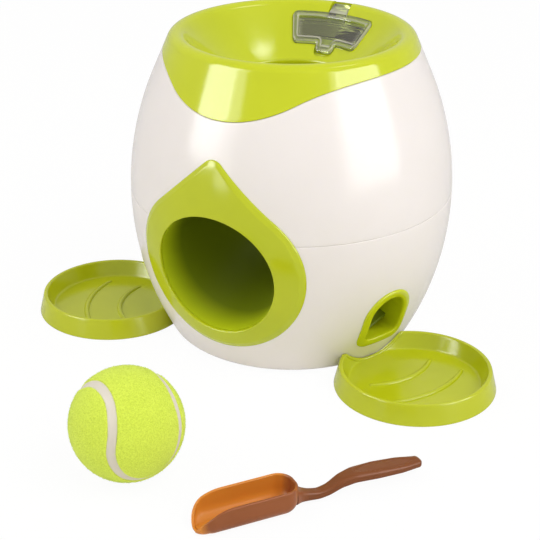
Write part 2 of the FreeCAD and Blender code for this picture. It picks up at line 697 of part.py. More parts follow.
def ball_chute():
    outside = chute_rod(N.tunnel_radius + N.tunnel_wall, N.chute_top, 90.0)
    inside = chute_rod(N.tunnel_radius, N.chute_top + 5, 95.0)
    solid = outside.cut(inside).common(barrel_solid(0.0))
    half = N.paddle_half_width + N.slot_gap
    slot = rod((-half, AXLE.y, AXLE.z), X_AXIS, 2 * half, N.paddle_reach + N.sweep_gap)
    return feature("ball_chute", solid.cut(slot).removeSplitter())


# Teardrop exit frame

def tangent_centre(first, first_radius, second, second_radius, arc):
    """The centre of an arc that touches two circles from outside, on their right-hand side."""
    far_first, far_second = first_radius + arc, second_radius + arc
    between = second - first
    along = (far_first ** 2 - far_second ** 2 + between.Length ** 2) / (2 * between.Length)
    away = math.sqrt(far_first ** 2 - along ** 2)
    unit = Vector(between).normalize()
    return first + unit * along + Vector(unit.y, -unit.x, 0) * away


def teardrop(grow=0.0):
    """The frame's outline in the front view, moved outwards by an amount."""
    tip_round, hip, arc = N.frame_tip_round + grow, N.frame_hip_round + grow, N.frame_flank_arc - grow
    tip = Vector(0, N.frame_tip_height - N.frame_tip_round, 0)
    hip_centre = Vector(N.frame_radius - N.frame_hip_round, N.frame_height, 0)
    flank_centre = tangent_centre(hip_centre, hip, tip, tip_round, arc)
    low = hip_centre + (flank_centre - hip_centre).normalize() * hip
    high = tip + (flank_centre - tip).normalize() * tip_round
    radius, height = N.frame_radius + grow, N.frame_height
    return [(0.0, height - radius, radius, 1), (radius, height, hip, 1), (low.x, low.y, arc, -1),
            (high.x, high.y, tip_round, 1), (0.0, tip.y + tip_round, tip_round, 1),
            (-high.x, high.y, arc, -1), (-low.x, low.y, hip, 1), (-radius, height, radius, 1)]


def ahead_prism(corners):
    face = upright(corners)
    return face.extrude(Vector(0, -REACH / 2, 0))


def exit_frame():
    plate = barrel_solid(N.frame_proud).cut(barrel_solid(N.frame_seat, -1.0))
    plate = plate.common(ahead_prism(teardrop()))
    slope = math.radians(N.tunnel_slope)
    ahead = Vector(0, -math.cos(slope), -math.sin(slope))
    start = Vector(0, -N.exit_depth, N.exit_height) - ahead * 60
    plate = plate.cut(Part.makeCylinder(N.exit_radius, 120, start, ahead))
    solid = max(plate.Solids, key=lambda piece: piece.Volume)
    return feature("exit_frame", rounded(solid, N.frame_edge, N.frame_proud))


def rounded(solid, radius, proud):
    """Rounds the edges that lie on the outermost surface of a plate on the barrel."""
    chosen = []
    for edge in solid.Edges:
        middle = edge.valueAt((edge.FirstParameter + edge.LastParameter) / 2)
        reach = math.hypot(middle.x, middle.y)
        if abs(reach - barrel(middle.z, proud).value) < 0.02:
            chosen.append(edge)
    return solid.makeFillet(radius, chosen)


# Paddle wheel, drums, axle, cam and bushes

def paddle_wheel():
    body = new_body("paddle_wheel")
    hub = new_sketch(body, "hub", "XY_Plane")
    draw_circle(hub, 0.0, 0.0, S.hub_radius)
    draw_circle(hub, 0.0, 0.0, S.axle_radius + S.run_gap)
    extrude(body, hub, S.hub_half_length * 2, middle=True)
    vane = new_sketch(body, "vane", "XY_Plane")
    half = S.paddle_thickness / 2
    start = S.hub_radius - S.run_gap * 10
    draw(vane, [(start, -half), (S.paddle_reach - half, -half, half, 1), (S.paddle_reach, 0.0, half, 1),
                (S.paddle_reach - half, half), (start, half)])
    blade = extrude(body, vane, S.paddle_half_width * 2, middle=True)
    repeat_round(body, blade, vane, S.paddle_count)
    return place(body, 0.0, S.axle_y, S.axle_height, ALONG_X)


def treat_drum(label, side):
    body = new_body(label)
    disc = new_sketch(body, label + "_disc", "XY_Plane")
    draw_circle(disc, 0.0, 0.0, S.drum_radius)
    draw_circle(disc, 0.0, 0.0, S.axle_radius + S.run_gap)
    extrude(body, disc, S.drum_width, middle=True)
    hollow = new_sketch(body, label + "_pocket", "XY_Plane")
    draw_circle(hollow, S.drum_radius, 0.0, S.pocket_radius)
    pocket = extrude(body, hollow, S.drum_width - S.pocket_end_wall * 2, "PartDesign::Pocket", middle=True)
    repeat_round(body, pocket, hollow, S.pocket_count)
    centre = S.drum_inner_x + S.drum_width / 2
    return place(body, centre if side > 0 else -centre, S.axle_y, S.axle_height, ALONG_X)


def drum_axle():
    body = turned("drum_axle", [(0.0, S.axle_left), (S.axle_radius, S.axle_left),
                                (S.axle_radius, S.axle_right), (0.0, S.axle_right)])
    return place(body, 0.0, S.axle_y, S.axle_height, ALONG_X)


def detent_cam():
    body = new_body("detent_cam")
    square = new_sketch(body, "cam_outline", "XY_Plane")
    corner = S.cam_radius
    draw(square, [(corner, 0.0), (0.0, corner), (-corner, 0.0), (0.0, -corner)])
    draw_circle(square, 0.0, 0.0, S.axle_radius + S.run_gap)
    extrude(body, square, S.cam_width)
    return place(body, S.cam_inner_x, S.axle_y, S.axle_height, ALONG_X)


def axle_bush(side):
    body = turned("axle_bush", [
        (S.axle_radius + S.run_gap, 0.0), (S.bush_flange_radius, 0.0), (S.bush_flange_radius, S.bush_flange_width),
        (S.bush_radius, S.bush_flange_width), (S.bush_radius, S.bush_length),
        (S.axle_radius + S.run_gap, S.bush_length)])
    start = S.hopper_half_width - S.cheek_thickness - S.bush_flange_width - S.run_gap
    if side > 0:
        return place(body, start, S.axle_y, S.axle_height, ALONG_X)
    return place(body, -start, S.axle_y, S.axle_height, Rotation(Y_AXIS, -90))


def group(label, pieces):
    """Several separate solids in one node."""
    compound = DOC.addObject("Part::Compound", label)
    compound.Label = label
    compound.Links = pieces
    return compound


def axle_bushes():
    return group("axle_bushes", [axle_bush(1), axle_bush(-1)])


# Treat hopper with its two outlets and the cheeks that carry the axle

def cross_prism(across, ahead):
    """Common volume of a front view pushed along Y and a side view pushed along X."""
    front = upright(across)
    front.translate(Vector(0, REACH / 2, 0))
    front = front.extrude(Vector(0, -REACH, 0))
    side = Part.Face(outline_wire(ahead))
    side.Placement = Placement(Vector(-REACH / 2, 0, 0), Rotation(Vector(1, 1, 1), 120))
    return front.common(side.extrude(Vector(REACH, 0, 0)))


def hopper_views(inset, over=0.0):
    """The hopper's right half from the front, and its side view, both moved inwards by an inset."""
    right, top, bottom = N.hopper_half_width - inset, N.hopper_top + over, HOPPER_BOTTOM - over
    ridge = N.ridge_height - N.hopper_wall + inset
    across = [(0.0, ridge), (N.outlet_inner + inset - 2.5, N.ridge_shoulder - N.hopper_wall + inset),
              (N.outlet_inner + inset, HOPPER_NECK), (N.outlet_inner + inset, bottom),
              (N.outlet_outer - inset, bottom), (N.outlet_outer - inset, HOPPER_NECK),
              (right, N.hopper_shoulder), (right, top), (0.0, top)]
    front, back = N.hopper_front + inset, N.hopper_back - inset
    ahead = [(N.outlet_front + inset, bottom), (N.outlet_back - inset, bottom),
             (N.outlet_back - inset, HOPPER_NECK), (back, N.hopper_shoulder), (back, top), (front, top),
             (front, HOPPER_NECK)]
    return across, ahead


def axle_cheek():
    """One side plate that carries a bush, with the lug that screws to its post."""
    low = CHEEK_BOTTOM
    plate = Part.Face(outline_wire([
        (N.outlet_front, N.hopper_shoulder), (N.outlet_front, low + 6), (N.outlet_front + 6, low),
        (N.post_y + N.lug_half_width, low), (N.post_y + N.lug_half_width, low + 5), (N.hopper_back, HOPPER_NECK),
        (N.hopper_back, N.hopper_shoulder)]))
    inner = N.hopper_half_width - N.cheek_thickness
    plate.Placement = Placement(Vector(inner, 0, 0), Rotation(Vector(1, 1, 1), 120))
    plate = plate.extrude(Vector(N.cheek_thickness, 0, 0))
    lug = box((inner, N.post_y - N.lug_half_width, POST_TOP),
              (N.hopper_half_width + N.lug_length, N.post_y + N.lug_half_width, POST_TOP + N.lug_thickness))
    hole = upright_rod((N.post_x, N.post_y), 0, REACH, N.screw_radius + N.screw_gap)
    bush = rod((0, AXLE.y, AXLE.z), X_AXIS, REACH, N.bush_radius + N.run_gap)
    return plate.fuse(lug).cut(hole).cut(bush)


def spring_face():
    """The plane of the leaf spring's back, behind the cam's widest reach."""
    return N.axle_y + N.cam_radius + N.spring_gap + N.spring_nose + N.spring_thickness


def spring_lug():
    y = spring_face()
    return box((N.hopper_half_width, y, SPRING_TOP - N.spring_lug_height),
               (N.cam_inner_x + N.spring_width + 0.4, y + N.spring_lug_thickness, SPRING_TOP))


def spring_screw_spot():
    return Vector(N.cam_inner_x + N.spring_width / 2, spring_face() - N.spring_thickness,
                  SPRING_TOP - N.spring_lug_height / 2)


def treat_hopper():
    outside = both_sides(cross_prism(*hopper_views(0.0)))
    hollow = both_sides(cross_prism(*hopper_views(N.hopper_wall, over=5.0)))
    solid = outside.cut(hollow).fuse(both_sides(axle_cheek())).fuse(spring_lug())
    drum_gap = N.drum_radius + N.drum_gap
    wheel_half = N.paddle_half_width + N.slot_gap
    inner = N.hopper_half_width - N.cheek_thickness
    spot = spring_screw_spot()
    tools = [rod((-inner, AXLE.y, AXLE.z), X_AXIS, 2 * inner, drum_gap),
             rod((-wheel_half, AXLE.y, AXLE.z), X_AXIS, 2 * wheel_half, N.paddle_reach + N.sweep_gap),
             rod((spot.x, spot.y, spot.z), Y_AXIS, 10, N.screw_radius + N.thread_gap),
             spun([bowl_point(0.1, -N.wall - N.chute_gap), bowl_point(N.hopper_top, -N.wall - N.chute_gap),
                   (N.hopper_top, REACH), (0.1, REACH)])]
    for tool in tools:
        solid = solid.cut(tool)
    solid = solid.common(barrel_solid(-N.wall - N.skirt_wall, 0.0))
    return feature("treat_hopper", solid.removeSplitter())


def detent_spring():
    """A leaf with one pressed nose that points at the cam."""
    face, thick, nose = spring_face(), N.spring_thickness, N.spring_nose
    middle = N.axle_height
    low, high = middle - N.spring_below, SPRING_TOP
    back = [(face, low), (face, middle - 3), (face - nose, middle), (face, middle + 3), (face, high)]
    front = [(y - thick, z) for y, z in reversed(back)]
    leaf = Part.Face(outline_wire(back + front))
    leaf.Placement = Placement(Vector(N.cam_inner_x, 0, 0), Rotation(Vector(1, 1, 1), 120))
    leaf = leaf.extrude(Vector(N.spring_width, 0, 0))
    spot = spring_screw_spot()
    hole = rod((spot.x, spot.y - 5, spot.z), Y_AXIS, 10, N.screw_radius + N.screw_gap)
    return feature("detent_spring", leaf.cut(hole))


# Treat slide: one tilted floor with two guides that meet behind the chute

def slide_top(y):
    return N.slide_height + (y - N.slide_front) * math.tan(math.radians(N.slide_tilt))


def tilted_slab(low, high):
    """A slab between two heights over the slide's floor."""
    front, back = -REACH / 2, REACH / 2
    corners = [(front, slide_top(front) + low), (back, slide_top(back) + low),
               (back, slide_top(back) + high), (front, slide_top(front) + high)]
    side = Part.Face(outline_wire(corners))
    side.Placement = Placement(Vector(-REACH / 2, 0, 0), Rotation(Vector(1, 1, 1), 120))
    return side.extrude(Vector(REACH, 0, 0))


def wedge(shift):
    """The area in front of the two guides, in plan, as a tall prism."""
    turn = math.radians(N.guide_half_angle)
    apex, reach = N.guide_apex - shift / math.sin(turn), REACH / 2
    side = reach * math.tan(turn)
    face = Part.Face(outline_wire([(0.0, apex), (-side, apex - reach), (side, apex - reach)]))
    return face.extrude(Vector(0, 0, REACH))


def treat_slide():
    space = barrel_solid(-N.wall - N.slide_gap, N.ledge_height + N.ledge_thickness + N.slide_gap,
                         N.seam_height - N.joint_boss_drop - N.slide_gap)
    floor = tilted_slab(-N.slide_thickness, 0.0).common(space).cut(wedge(0.0))
    walls = tilted_slab(-N.slide_thickness, N.guide_height).common(space)
    walls = walls.cut(wedge(0.0)).common(wedge(-N.guide_wall))
    solid = floor.fuse(walls).cut(both_sides(duct_outside(N.duct_gap)))
    for spot in post_places():
        solid = solid.cut(upright_rod(spot, 0, REACH, N.post_radius + N.slide_gap))
    for spot in base_screw_places():
        solid = solid.cut(upright_rod(spot, 0, N.base_boss_top + N.slide_gap, N.base_boss_radius + N.slide_gap))
    solid = max(solid.Solids, key=lambda piece: piece.Volume)
    return feature("treat_slide", solid.removeSplitter())


# Treat spouts

def spout_shape():
    bezel = barrel_solid(N.spout_proud).cut(barrel_solid(N.frame_seat, -1.0))
    bezel = bezel.common(side_prism(N.spout_outer, N.spout_bottom, N.spout_corner))
    bezel = rounded(bezel.Solids[0], N.spout_edge, N.spout_proud)
    duct = duct_outside().common(barrel_solid(N.frame_seat + 0.2))
    depth = rod((0, 0, 0), Z_AXIS, REACH, N.duct_depth)
    solid = bezel.fuse(duct.cut(depth))
    solid = solid.cut(side_prism(N.spout_inner, N.spout_sill, N.spout_inner_corner))
    return solid.removeSplitter()


# Treat trays

def tray_dish():
    wall = S.tray_rim_width / 2
    height, rim = S.tray_height, S.tray_rim
    under = S.tray_floor - S.tray_thickness
    foot = S.tray_foot - S.tray_thickness
    return turned("tray_dish", [
        (0.0, under), (S.tray_floor_radius + S.tray_thickness, under), (rim - wall, height - wall * 4),
        (foot, 0.0), (S.tray_foot, 0.0), (rim, height - wall, wall, 1), (rim - wall, height, wall, 1),
        (rim - S.tray_rim_width, height - wall), (S.tray_floor_radius + wall, S.tray_floor), (0.0, S.tray_floor)])


def floor_rib(name, arc, middle, span):
    """A low round rib, bent about the housing's side and sunk in the floor."""
    rib = DOC.addObject("Part::Torus", name)
    rib.setExpression("Radius1", arc.text)
    rib.setExpression("Radius2", S.rib_round.text)
    rib.setExpression("Angle3", (span * 2).text)
    turn = Rotation(Z_AXIS, -span.value)
    centre = Vector(middle.value - arc.value, 0, N.tray_floor - N.rib_sink)
    rib.Placement = Placement(centre, turn)
    pieces = [rib]
    for side in (-1, 1):
        end = DOC.addObject("Part::Sphere", name + "_end")
        end.setExpression("Radius", S.rib_round.text)
        along = Rotation(Z_AXIS, span.value * side).multVec(Vector(arc.value, 0, 0))
        end.Placement = Placement(centre + along, Rotation())
        pieces.append(end)
    return pieces


def treat_tray():
    """The right-hand tray, made about its own centre, turned to its side and cut to the housing."""
    outer = floor_rib("outer_rib", S.rib_outer_arc, S.rib_outer_place, S.rib_outer_span)
    inner = floor_rib("inner_rib", S.rib_inner_arc, S.rib_inner_place, S.rib_inner_span)
    dish = fuse("tray_with_ribs", tray_dish(), *outer, *inner)
    x, y = around(N.tray_distance, N.side_angle)
    dish.Placement = Placement(Vector(x, y, 0), Rotation(Z_AXIS, N.side_angle - 90))
    bite = feature("housing_and_gap", barrel_solid(N.tray_gap, -1.0))
    return cut("tray_right", dish, bite)


def mirror_of(label, source):
    copy = DOC.addObject("Part::Mirroring", label)
    copy.Label = label
    copy.Source = source
    copy.Normal = X_AXIS
    return copy


# Base plate, pads and screws

def base_plate():
    radius = standing_radius() - S.ring_width - S.base_gap
    top = S.ledge_height - S.base_seat
    body = turned("base_plate", [(0.0, S.base_bottom), (radius, S.base_bottom), (radius, top), (0.0, top)])
    seats = new_sketch(body, "pad_seats", "XY_Plane")
    reach = pad_circle() * math.sqrt(0.5)
    for x, y in ((reach, reach), (-reach, reach), (-reach, -reach), (reach, -reach)):
        draw_circle(seats, x, y, S.pad_radius + S.run_gap)
    extrude(body, seats, S.base_bottom + S.pad_seat, "PartDesign::Pocket", backwards=True)
    holes = new_sketch(body, "screw_holes", "XY_Plane")
    reach = base_screw_circle() * math.sqrt(0.5)
    for x, y in ((reach, reach), (-reach, reach), (-reach, -reach), (reach, -reach)):
        draw_circle(holes, x, y, S.screw_radius + S.screw_gap)
    extrude(body, holes, S.ledge_height * 2, "PartDesign::Pocket", backwards=True)
    return body


def rubber_pads():
    pads = []
    for spot in [around(pad_circle().value, angle) for angle in (45, 135, 225, 315)]:
        pad = turned("rubber_pad", [(0.0, 0.0), (S.pad_radius, 0.0),
                                    (S.pad_radius, S.base_bottom + S.pad_seat - S.run_gap),
                                    (0.0, S.base_bottom + S.pad_seat - S.run_gap)])
        pad.Placement = Placement(Vector(spot[0], spot[1], 0), Rotation())
        pads.append(pad)
    return group("rubber_pads", pads)


def screw_shape(length, head):
    """A pan-head screw with its head under the origin and its shank along +Z."""
    shank = Part.makeCylinder(N.screw_radius, length, ORIGIN)
    crown = Part.makeCylinder(N.screw_head_radius, head, Vector(0, 0, -head))
    return crown.fuse(shank)


def placed(shape, spot, rotation=None):
    copy = shape.copy()
    copy.Placement = Placement(spot, rotation or Rotation())
    return copy


def screws(label, length, head, spots, rotation=None):
    one = screw_shape(length, head)
    return feature(label, Part.makeCompound([placed(one, Vector(*spot), rotation) for spot in spots]))


def all_screws():
    seat = N.seam_height - N.joint_screw_seat
    joint = [(x, y, seat) for x, y in joint_places()]
    base = [(x, y, N.base_bottom) for x, y in base_screw_places()]
    hopper = [(x, y, POST_TOP + N.lug_thickness) for x, y in post_places()]
    head = N.screw_head_height
    down = Rotation(X_AXIS, 180)
    spot = spring_screw_spot()
    return [screws("shell_screws", N.joint_screw_length, head, joint),
            screws("base_screws", N.base_screw_length, N.base_screw_head, base),
            screws("hopper_screws", N.hopper_screw_length, head, hopper, down),
            screws("spring_screw", N.spring_screw_length, N.spring_nose - 0.2, [tuple(spot)],
                   Rotation(X_AXIS, -90))]


# Tennis ball: a hollow rubber core in its felt

def sphere_shell(outer, inner):
    return Part.makeSphere(outer).cut(Part.makeSphere(inner))


def ball_pieces():
    core_radius = N.ball_radius - N.felt_thickness
    pieces = {"ball_core": sphere_shell(core_radius - N.felt_gap, core_radius - N.core_wall),
              "ball_felt": sphere_shell(N.ball_radius, core_radius)}
    nodes = []
    for label, shape in pieces.items():
        shape.Placement = Placement(Vector(N.ball_x, N.ball_y, N.ball_radius), Rotation())
        nodes.append(feature(label, shape))
    return nodes


# Scoop: a deep trough with a low front lip, and a bar handle that dips, rises and ends in a flat pad

# Stations of the handle: distance behind the heel, top, bottom, half width
HANDLE = [(-1.2, 10.0, 2.4, 4.2), (2.0, 9.2, 2.2, 3.7), (8.0, 6.9, 1.4, 3.1), (14.0, 5.6, 0.7, 3.0),
          (20.0, 6.6, 1.5, 3.1), (27.0, 10.3, 4.4, 3.6), (35.0, 11.8, 6.0, 4.5), (49.0, 11.3, 5.5, 5.4),
          (64.0, 9.9, 4.9, 5.0), (75.0, 8.6, 4.3, 3.2), (76.9, 8.1, 4.9, 2.0), (77.6, 7.4, 5.6, 0.8)]


def smooth_line(points):
    curve = Part.BSplineCurve()
    curve.interpolate([Vector(x, y, 0) for x, y in points])
    return curve.toShape()


def strip(low, high):
    """A face in the XY plane between two smooth lines whose points run the same way."""
    ends = [Part.makeLine(Vector(*low[end], 0), Vector(*high[end], 0)) for end in (0, -1)]
    edges = Part.__sortEdges__([smooth_line(low), ends[1], smooth_line(high), ends[0]])
    return Part.Face(Part.Wire(edges))


def scoop_block(inset, floor, top):
    """The trough's outside or inside, with rounded corners and a rounded foot."""
    half, length = N.scoop_width / 2 - inset, N.scoop_length
    block = box((inset, -half, floor), (length - inset, half, top))
    for low, high, corner in ((-1.0, length / 2, N.scoop_front_round), (length / 2, length + 1, N.scoop_heel_round)):
        upright_edges = [edge for edge in block.Edges if low < edge.CenterOfMass.x < high
                         and abs(edge.BoundBox.ZLength - (top - floor)) < 0.01]
        block = block.makeFillet(corner - inset, upright_edges)
    foot = [edge for edge in block.Edges if abs(edge.CenterOfMass.z - floor) < 0.01]
    return block.makeFillet(N.scoop_floor_round - inset, foot)


def side_view(face):
    """Pushes a face drawn in X and height through the scoop's whole width."""
    half = N.scoop_width
    face.rotate(ORIGIN, X_AXIS, 90)
    face.translate(Vector(0, half, 0))
    return face.extrude(Vector(0, -2 * half, 0))


def scoop():
    wall, height, lip = N.scoop_wall, N.scoop_height, N.scoop_lip
    trough = scoop_block(0.0, 0.0, height).cut(scoop_block(wall, wall, height + 10))
    rise = height - lip
    above = side_view(Part.Face(outline_wire([(-1.0, lip), (0.0, lip, rise, -1), (rise, height), (rise, height + 1),
                                              (-1.0, height + 1)])))
    heel = N.scoop_length
    top = [(heel + distance, high) for distance, high, low, wide in HANDLE]
    bottom = [(heel + distance, low) for distance, high, low, wide in HANDLE]
    right = [(heel + distance, wide) for distance, high, low, wide in HANDLE]
    left = [(x, -wide) for x, wide in right]
    plan = strip(left, right).extrude(Vector(0, 0, height * 2))
    bar = side_view(strip(bottom, top)).common(plan)
    middle, reach = heel + (N.pad_start + N.pad_end) / 2, (N.pad_end - N.pad_start) / 2
    oval = Part.Ellipse(Vector(middle, 0, 0), reach, N.scoop_width / 4 - N.pad_rim).toShape()
    oval = Part.Face(Part.Wire(oval)).extrude(Vector(0, 0, height * 2))
    raised = [(x, z + height) for x, z in top]
    lowered = [(x, z - N.pad_recess) for x, z in top]
    bar = bar.cut(side_view(strip(lowered, raised)).common(oval))
    solid = trough.cut(above).fuse(bar).removeSplitter()
    solid = max(solid.Solids, key=lambda piece: piece.Volume)
    solid.Placement = Placement(Vector(N.scoop_x, N.scoop_y, 0), Rotation(Z_AXIS, N.scoop_turn))
    return feature("scoop", solid)


def build():
    right_spout = spout_shape()
    tray = treat_tray()
    nodes = [funnel_top(), hatch_door(), hatch_pin(), upper_shell(), lower_shell(), exit_frame(), ball_chute(),
             treat_hopper(), paddle_wheel(), treat_drum("drum_right", 1), treat_drum("drum_left", -1),
             drum_axle(), detent_cam(), axle_bushes(), detent_spring(), treat_slide(),
             feature("spout_right", right_spout), feature("spout_left", mirrored(right_spout)),
             tray, mirror_of("tray_left", tray), base_plate(), rubber_pads(), scoop()]
    nodes += all_screws()
    nodes += ball_pieces()
    DOC.recompute()
    return nodes


def check(nodes):
    """Stops when any object of the document or any sub-part's shape is not sound."""
    for item in DOC.Objects:
        if "Invalid" in item.State or "Error" in item.State:
            raise RuntimeError("%s is %s" % (item.Label, item.State))
    for node in nodes:
        shape = node.Shape
        if shape.isNull() or not shape.isValid() or not shape.Solids:
            raise RuntimeError("%s has no valid shape" % node.Label)


def main():
    nodes = build()
    check(nodes)
    os.makedirs("parts", exist_ok=True)
    for node in nodes:
        node.Shape.exportStep(os.path.join("parts", node.Label + ".step"))
        bounds = node.Shape.BoundBox
        print("%-14s %2d solids  volume %9.1f  X %7.1f %7.1f  Y %7.1f %7.1f  Z %6.1f %6.1f" % (
            node.Label, len(node.Shape.Solids), node.Shape.Volume, bounds.XMin, bounds.XMax,
            bounds.YMin, bounds.YMax, bounds.ZMin, bounds.ZMax))


main()
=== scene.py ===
"""Blender scene of a free-standing ball launcher for dogs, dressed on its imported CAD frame.

The mouldings that the eye meets are built here again from the source's dimensions, finely enough
for clean reflections, and take their nodes' place on the same body. The mechanism inside keeps its
solids. Lengths are in millimetres until a mesh is made. +Z is up and -Y is the front, as in the source.
"""

from __future__ import annotations

import json
import logging
import math
from dataclasses import dataclass, field
from enum import Enum
from typing import Any, Iterable, Sequence

import bmesh
import bpy
import numpy as np
from mathutils import Matrix, Vector

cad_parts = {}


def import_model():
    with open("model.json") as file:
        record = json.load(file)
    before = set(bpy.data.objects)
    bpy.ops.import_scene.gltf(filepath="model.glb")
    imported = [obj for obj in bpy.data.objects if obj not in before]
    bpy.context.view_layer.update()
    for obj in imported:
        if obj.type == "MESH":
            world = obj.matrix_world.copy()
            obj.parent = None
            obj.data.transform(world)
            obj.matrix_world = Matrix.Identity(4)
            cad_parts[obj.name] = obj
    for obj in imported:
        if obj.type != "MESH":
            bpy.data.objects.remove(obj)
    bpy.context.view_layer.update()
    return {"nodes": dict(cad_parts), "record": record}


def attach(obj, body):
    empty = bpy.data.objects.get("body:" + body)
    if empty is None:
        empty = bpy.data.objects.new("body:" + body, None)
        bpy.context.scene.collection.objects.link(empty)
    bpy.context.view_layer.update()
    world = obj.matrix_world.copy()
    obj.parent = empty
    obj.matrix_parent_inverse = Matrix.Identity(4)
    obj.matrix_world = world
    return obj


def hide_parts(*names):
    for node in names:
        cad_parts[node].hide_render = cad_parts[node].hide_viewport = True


LOG = logging.getLogger("ball_launcher")
MM = 0.001
SHARP_ANGLE = math.radians(38.0)
WELD = 2e-7
# A moulding's slow waves: their size against its patches, their depth against its relief
WAVE_SHARE = 0.22
WAVE_DEPTH = 6.0
Array = np.ndarray
Corner = tuple[float, float, float]


# Colour and nodes

def srgb(code: str) -> tuple[float, float, float, float]:
    """Turns a colour code into the linear colour that a shader takes.

    Args:
        code: Red, green and blue as six hexadecimal digits, as a screen shows them.

    Returns:
        Linear red, green, blue and a full alpha.
    """
    parts = [int(code[place:place + 2], 16) / 255.0 for place in (0, 2, 4)]
    linear = [part / 12.92 if part <= 0.04045 else ((part + 0.055) / 1.055) ** 2.4 for part in parts]
    return linear[0], linear[1], linear[2], 1.0


def add_node(tree: bpy.types.NodeTree, kind: str, inputs: dict[Any, Any] | None = None,
             **settings: Any) -> bpy.types.Node:
    """Adds a node, sets its properties and fills or links its inputs.

    Args:
        tree: The tree that gets the node.
        kind: The node's type name.
        inputs: Values or output sockets by input name or number.
        **settings: Properties of the node.

    Returns:
        The new node.
    """
    node = tree.nodes.new(kind)
    for name, value in settings.items():
        setattr(node, name, value)
    for name, value in (inputs or {}).items():
        if isinstance(value, bpy.types.NodeSocket):
            tree.links.new(value, node.inputs[name])
        else:
            node.inputs[name].default_value = value
    return node


def empty_material(name: str) -> bpy.types.Material:
    """A material whose node tree is still empty."""
    material = bpy.data.materials.new(name)
    material.use_nodes = True
    material.node_tree.nodes.clear()
    return material


def add_object(name: str, data: bpy.types.ID) -> bpy.types.Object:
    """Puts a mesh, a lamp or a camera in the scene as an object."""
    item = bpy.data.objects.new(name, data)
    bpy.context.scene.collection.objects.link(item)
    return item


@dataclass(frozen=True)
class Finish:
    """A procedural finish for one material slot of the record.

    Attributes:
        slot: The record's slot.
        colour: The main colour code.
        tint: The colour code of its faint flow marks, grain or stains.
        roughness: The smoothest roughness.
        spread: How much rougher it gets in patches.
        grain: The size of its finest relief in millimetres.
        relief: The depth of that relief in millimetres.
        patch: The size of its patches of colour and roughness in millimetres.
    """

    slot: str
    colour: str
    tint: str
    roughness: float = 0.3
    spread: float = 0.08
    grain: float = 0.6
    relief: float = 0.004
    patch: float = 45.0

    def shader_values(self) -> dict[str, Any]:
        """Constant sockets of the shader."""
        return {}

    def surface(self, tree: bpy.types.NodeTree, place: bpy.types.NodeSocket) -> dict[str, Any]:
        """Sockets that vary over the surface.

        Args:
            tree: The material's tree.
            place: Object coordinates in metres.

        Returns:
            Output sockets by the shader's input name.
        """
        patches = add_node(tree, "ShaderNodeTexNoise", {
            "Vector": place, "Scale": 1.0 / (self.patch * MM), "Detail": 3.0}).outputs["Fac"]
        grain = add_node(tree, "ShaderNodeTexNoise", {
            "Vector": place, "Scale": 1.0 / (self.grain * MM), "Detail": 3.0,
            "Roughness": 0.6}).outputs["Fac"]
        waves = add_node(tree, "ShaderNodeTexNoise", {
            "Vector": place, "Scale": 1.0 / (self.patch * WAVE_SHARE * MM), "Detail": 1.0}).outputs["Fac"]
        flow = add_node(tree, "ShaderNodeMapRange", {"Value": patches, "From Min": 0.35, "From Max": 0.7})
        colour = add_node(tree, "ShaderNodeMix", {
            0: flow.outputs["Result"], 6: srgb(self.colour), 7: srgb(self.tint)}, data_type="RGBA")
        gloss = add_node(tree, "ShaderNodeMapRange", {
            "Value": patches, "From Min": 0.3, "From Max": 0.75, "To Min": self.roughness,
            "To Max": self.roughness + self.spread})
        swell = add_node(tree, "ShaderNodeBump", {
            "Height": waves, "Strength": 1.0, "Distance": self.relief * WAVE_DEPTH * MM})
        relief = add_node(tree, "ShaderNodeBump", {
            "Height": grain, "Strength": 1.0, "Distance": self.relief * MM,
            "Normal": swell.outputs["Normal"]})
        return {"Base Color": colour.outputs[2], "Roughness": gloss.outputs["Result"],
                "Normal": relief.outputs["Normal"]}

    def build(self) -> bpy.types.Material:
        """Makes the material.

        Returns:
            The material, named after its slot.
        """
        material = empty_material(self.slot)
        tree = material.node_tree
        place = add_node(tree, "ShaderNodeTexCoord").outputs["Object"]
        shader = add_node(tree, "ShaderNodeBsdfPrincipled", self.shader_values() | self.surface(tree, place))
        add_node(tree, "ShaderNodeOutputMaterial", {"Surface": shader.outputs["BSDF"]})
        return material


@dataclass(frozen=True)
class GlossPlastic(Finish):
    """Polished ABS: an even, slightly translucent body under a clean skin that mirrors the windows."""

    glow: float = 0.04
    depth: float = 1.6
    shine: float = 0.5

    def shader_values(self) -> dict[str, Any]:
        """A little light travels under the skin, as in pale mouldings."""
        return {"IOR": 1.54, "Specular IOR Level": self.shine, "Subsurface Weight": self.glow,
                "Subsurface Radius": (1.0, 0.9, 0.5),
                "Subsurface Scale": self.depth * MM}


@dataclass(frozen=True)
class TunnelPlastic(GlossPlastic):
    """ABS of the tunnel and slide, its colour darkened deeper in the housing as painted shade."""

    # The colour at the back of the tunnel, painted shade
    deep: str = "6F7C10"
    front: float = -104.0
    back: float = -72.0

    def shader_values(self) -> dict[str, Any]:
        """A duller skin than the polished mouldings have."""
        return super().shader_values() | {"Specular IOR Level": 0.12}

    def surface(self, tree: bpy.types.NodeTree, place: bpy.types.NodeSocket) -> dict[str, Any]:
        """Paints shade: deepens the colour from the front to the back."""
        sockets = super().surface(tree, place)
        # Painted shade, growing with depth along Y
        depth = add_node(tree, "ShaderNodeSeparateXYZ", {"Vector": place}).outputs["Y"]
        share = add_node(tree, "ShaderNodeMapRange", {
            "Value": depth, "From Min": self.front * MM, "From Max": self.back * MM}).outputs["Result"]
        node = add_node(tree, "ShaderNodeMix", {0: share, 6: sockets["Base Color"], 7: srgb(self.deep)},
                        data_type="RGBA")
        return sockets | {"Base Color": node.outputs[2]}


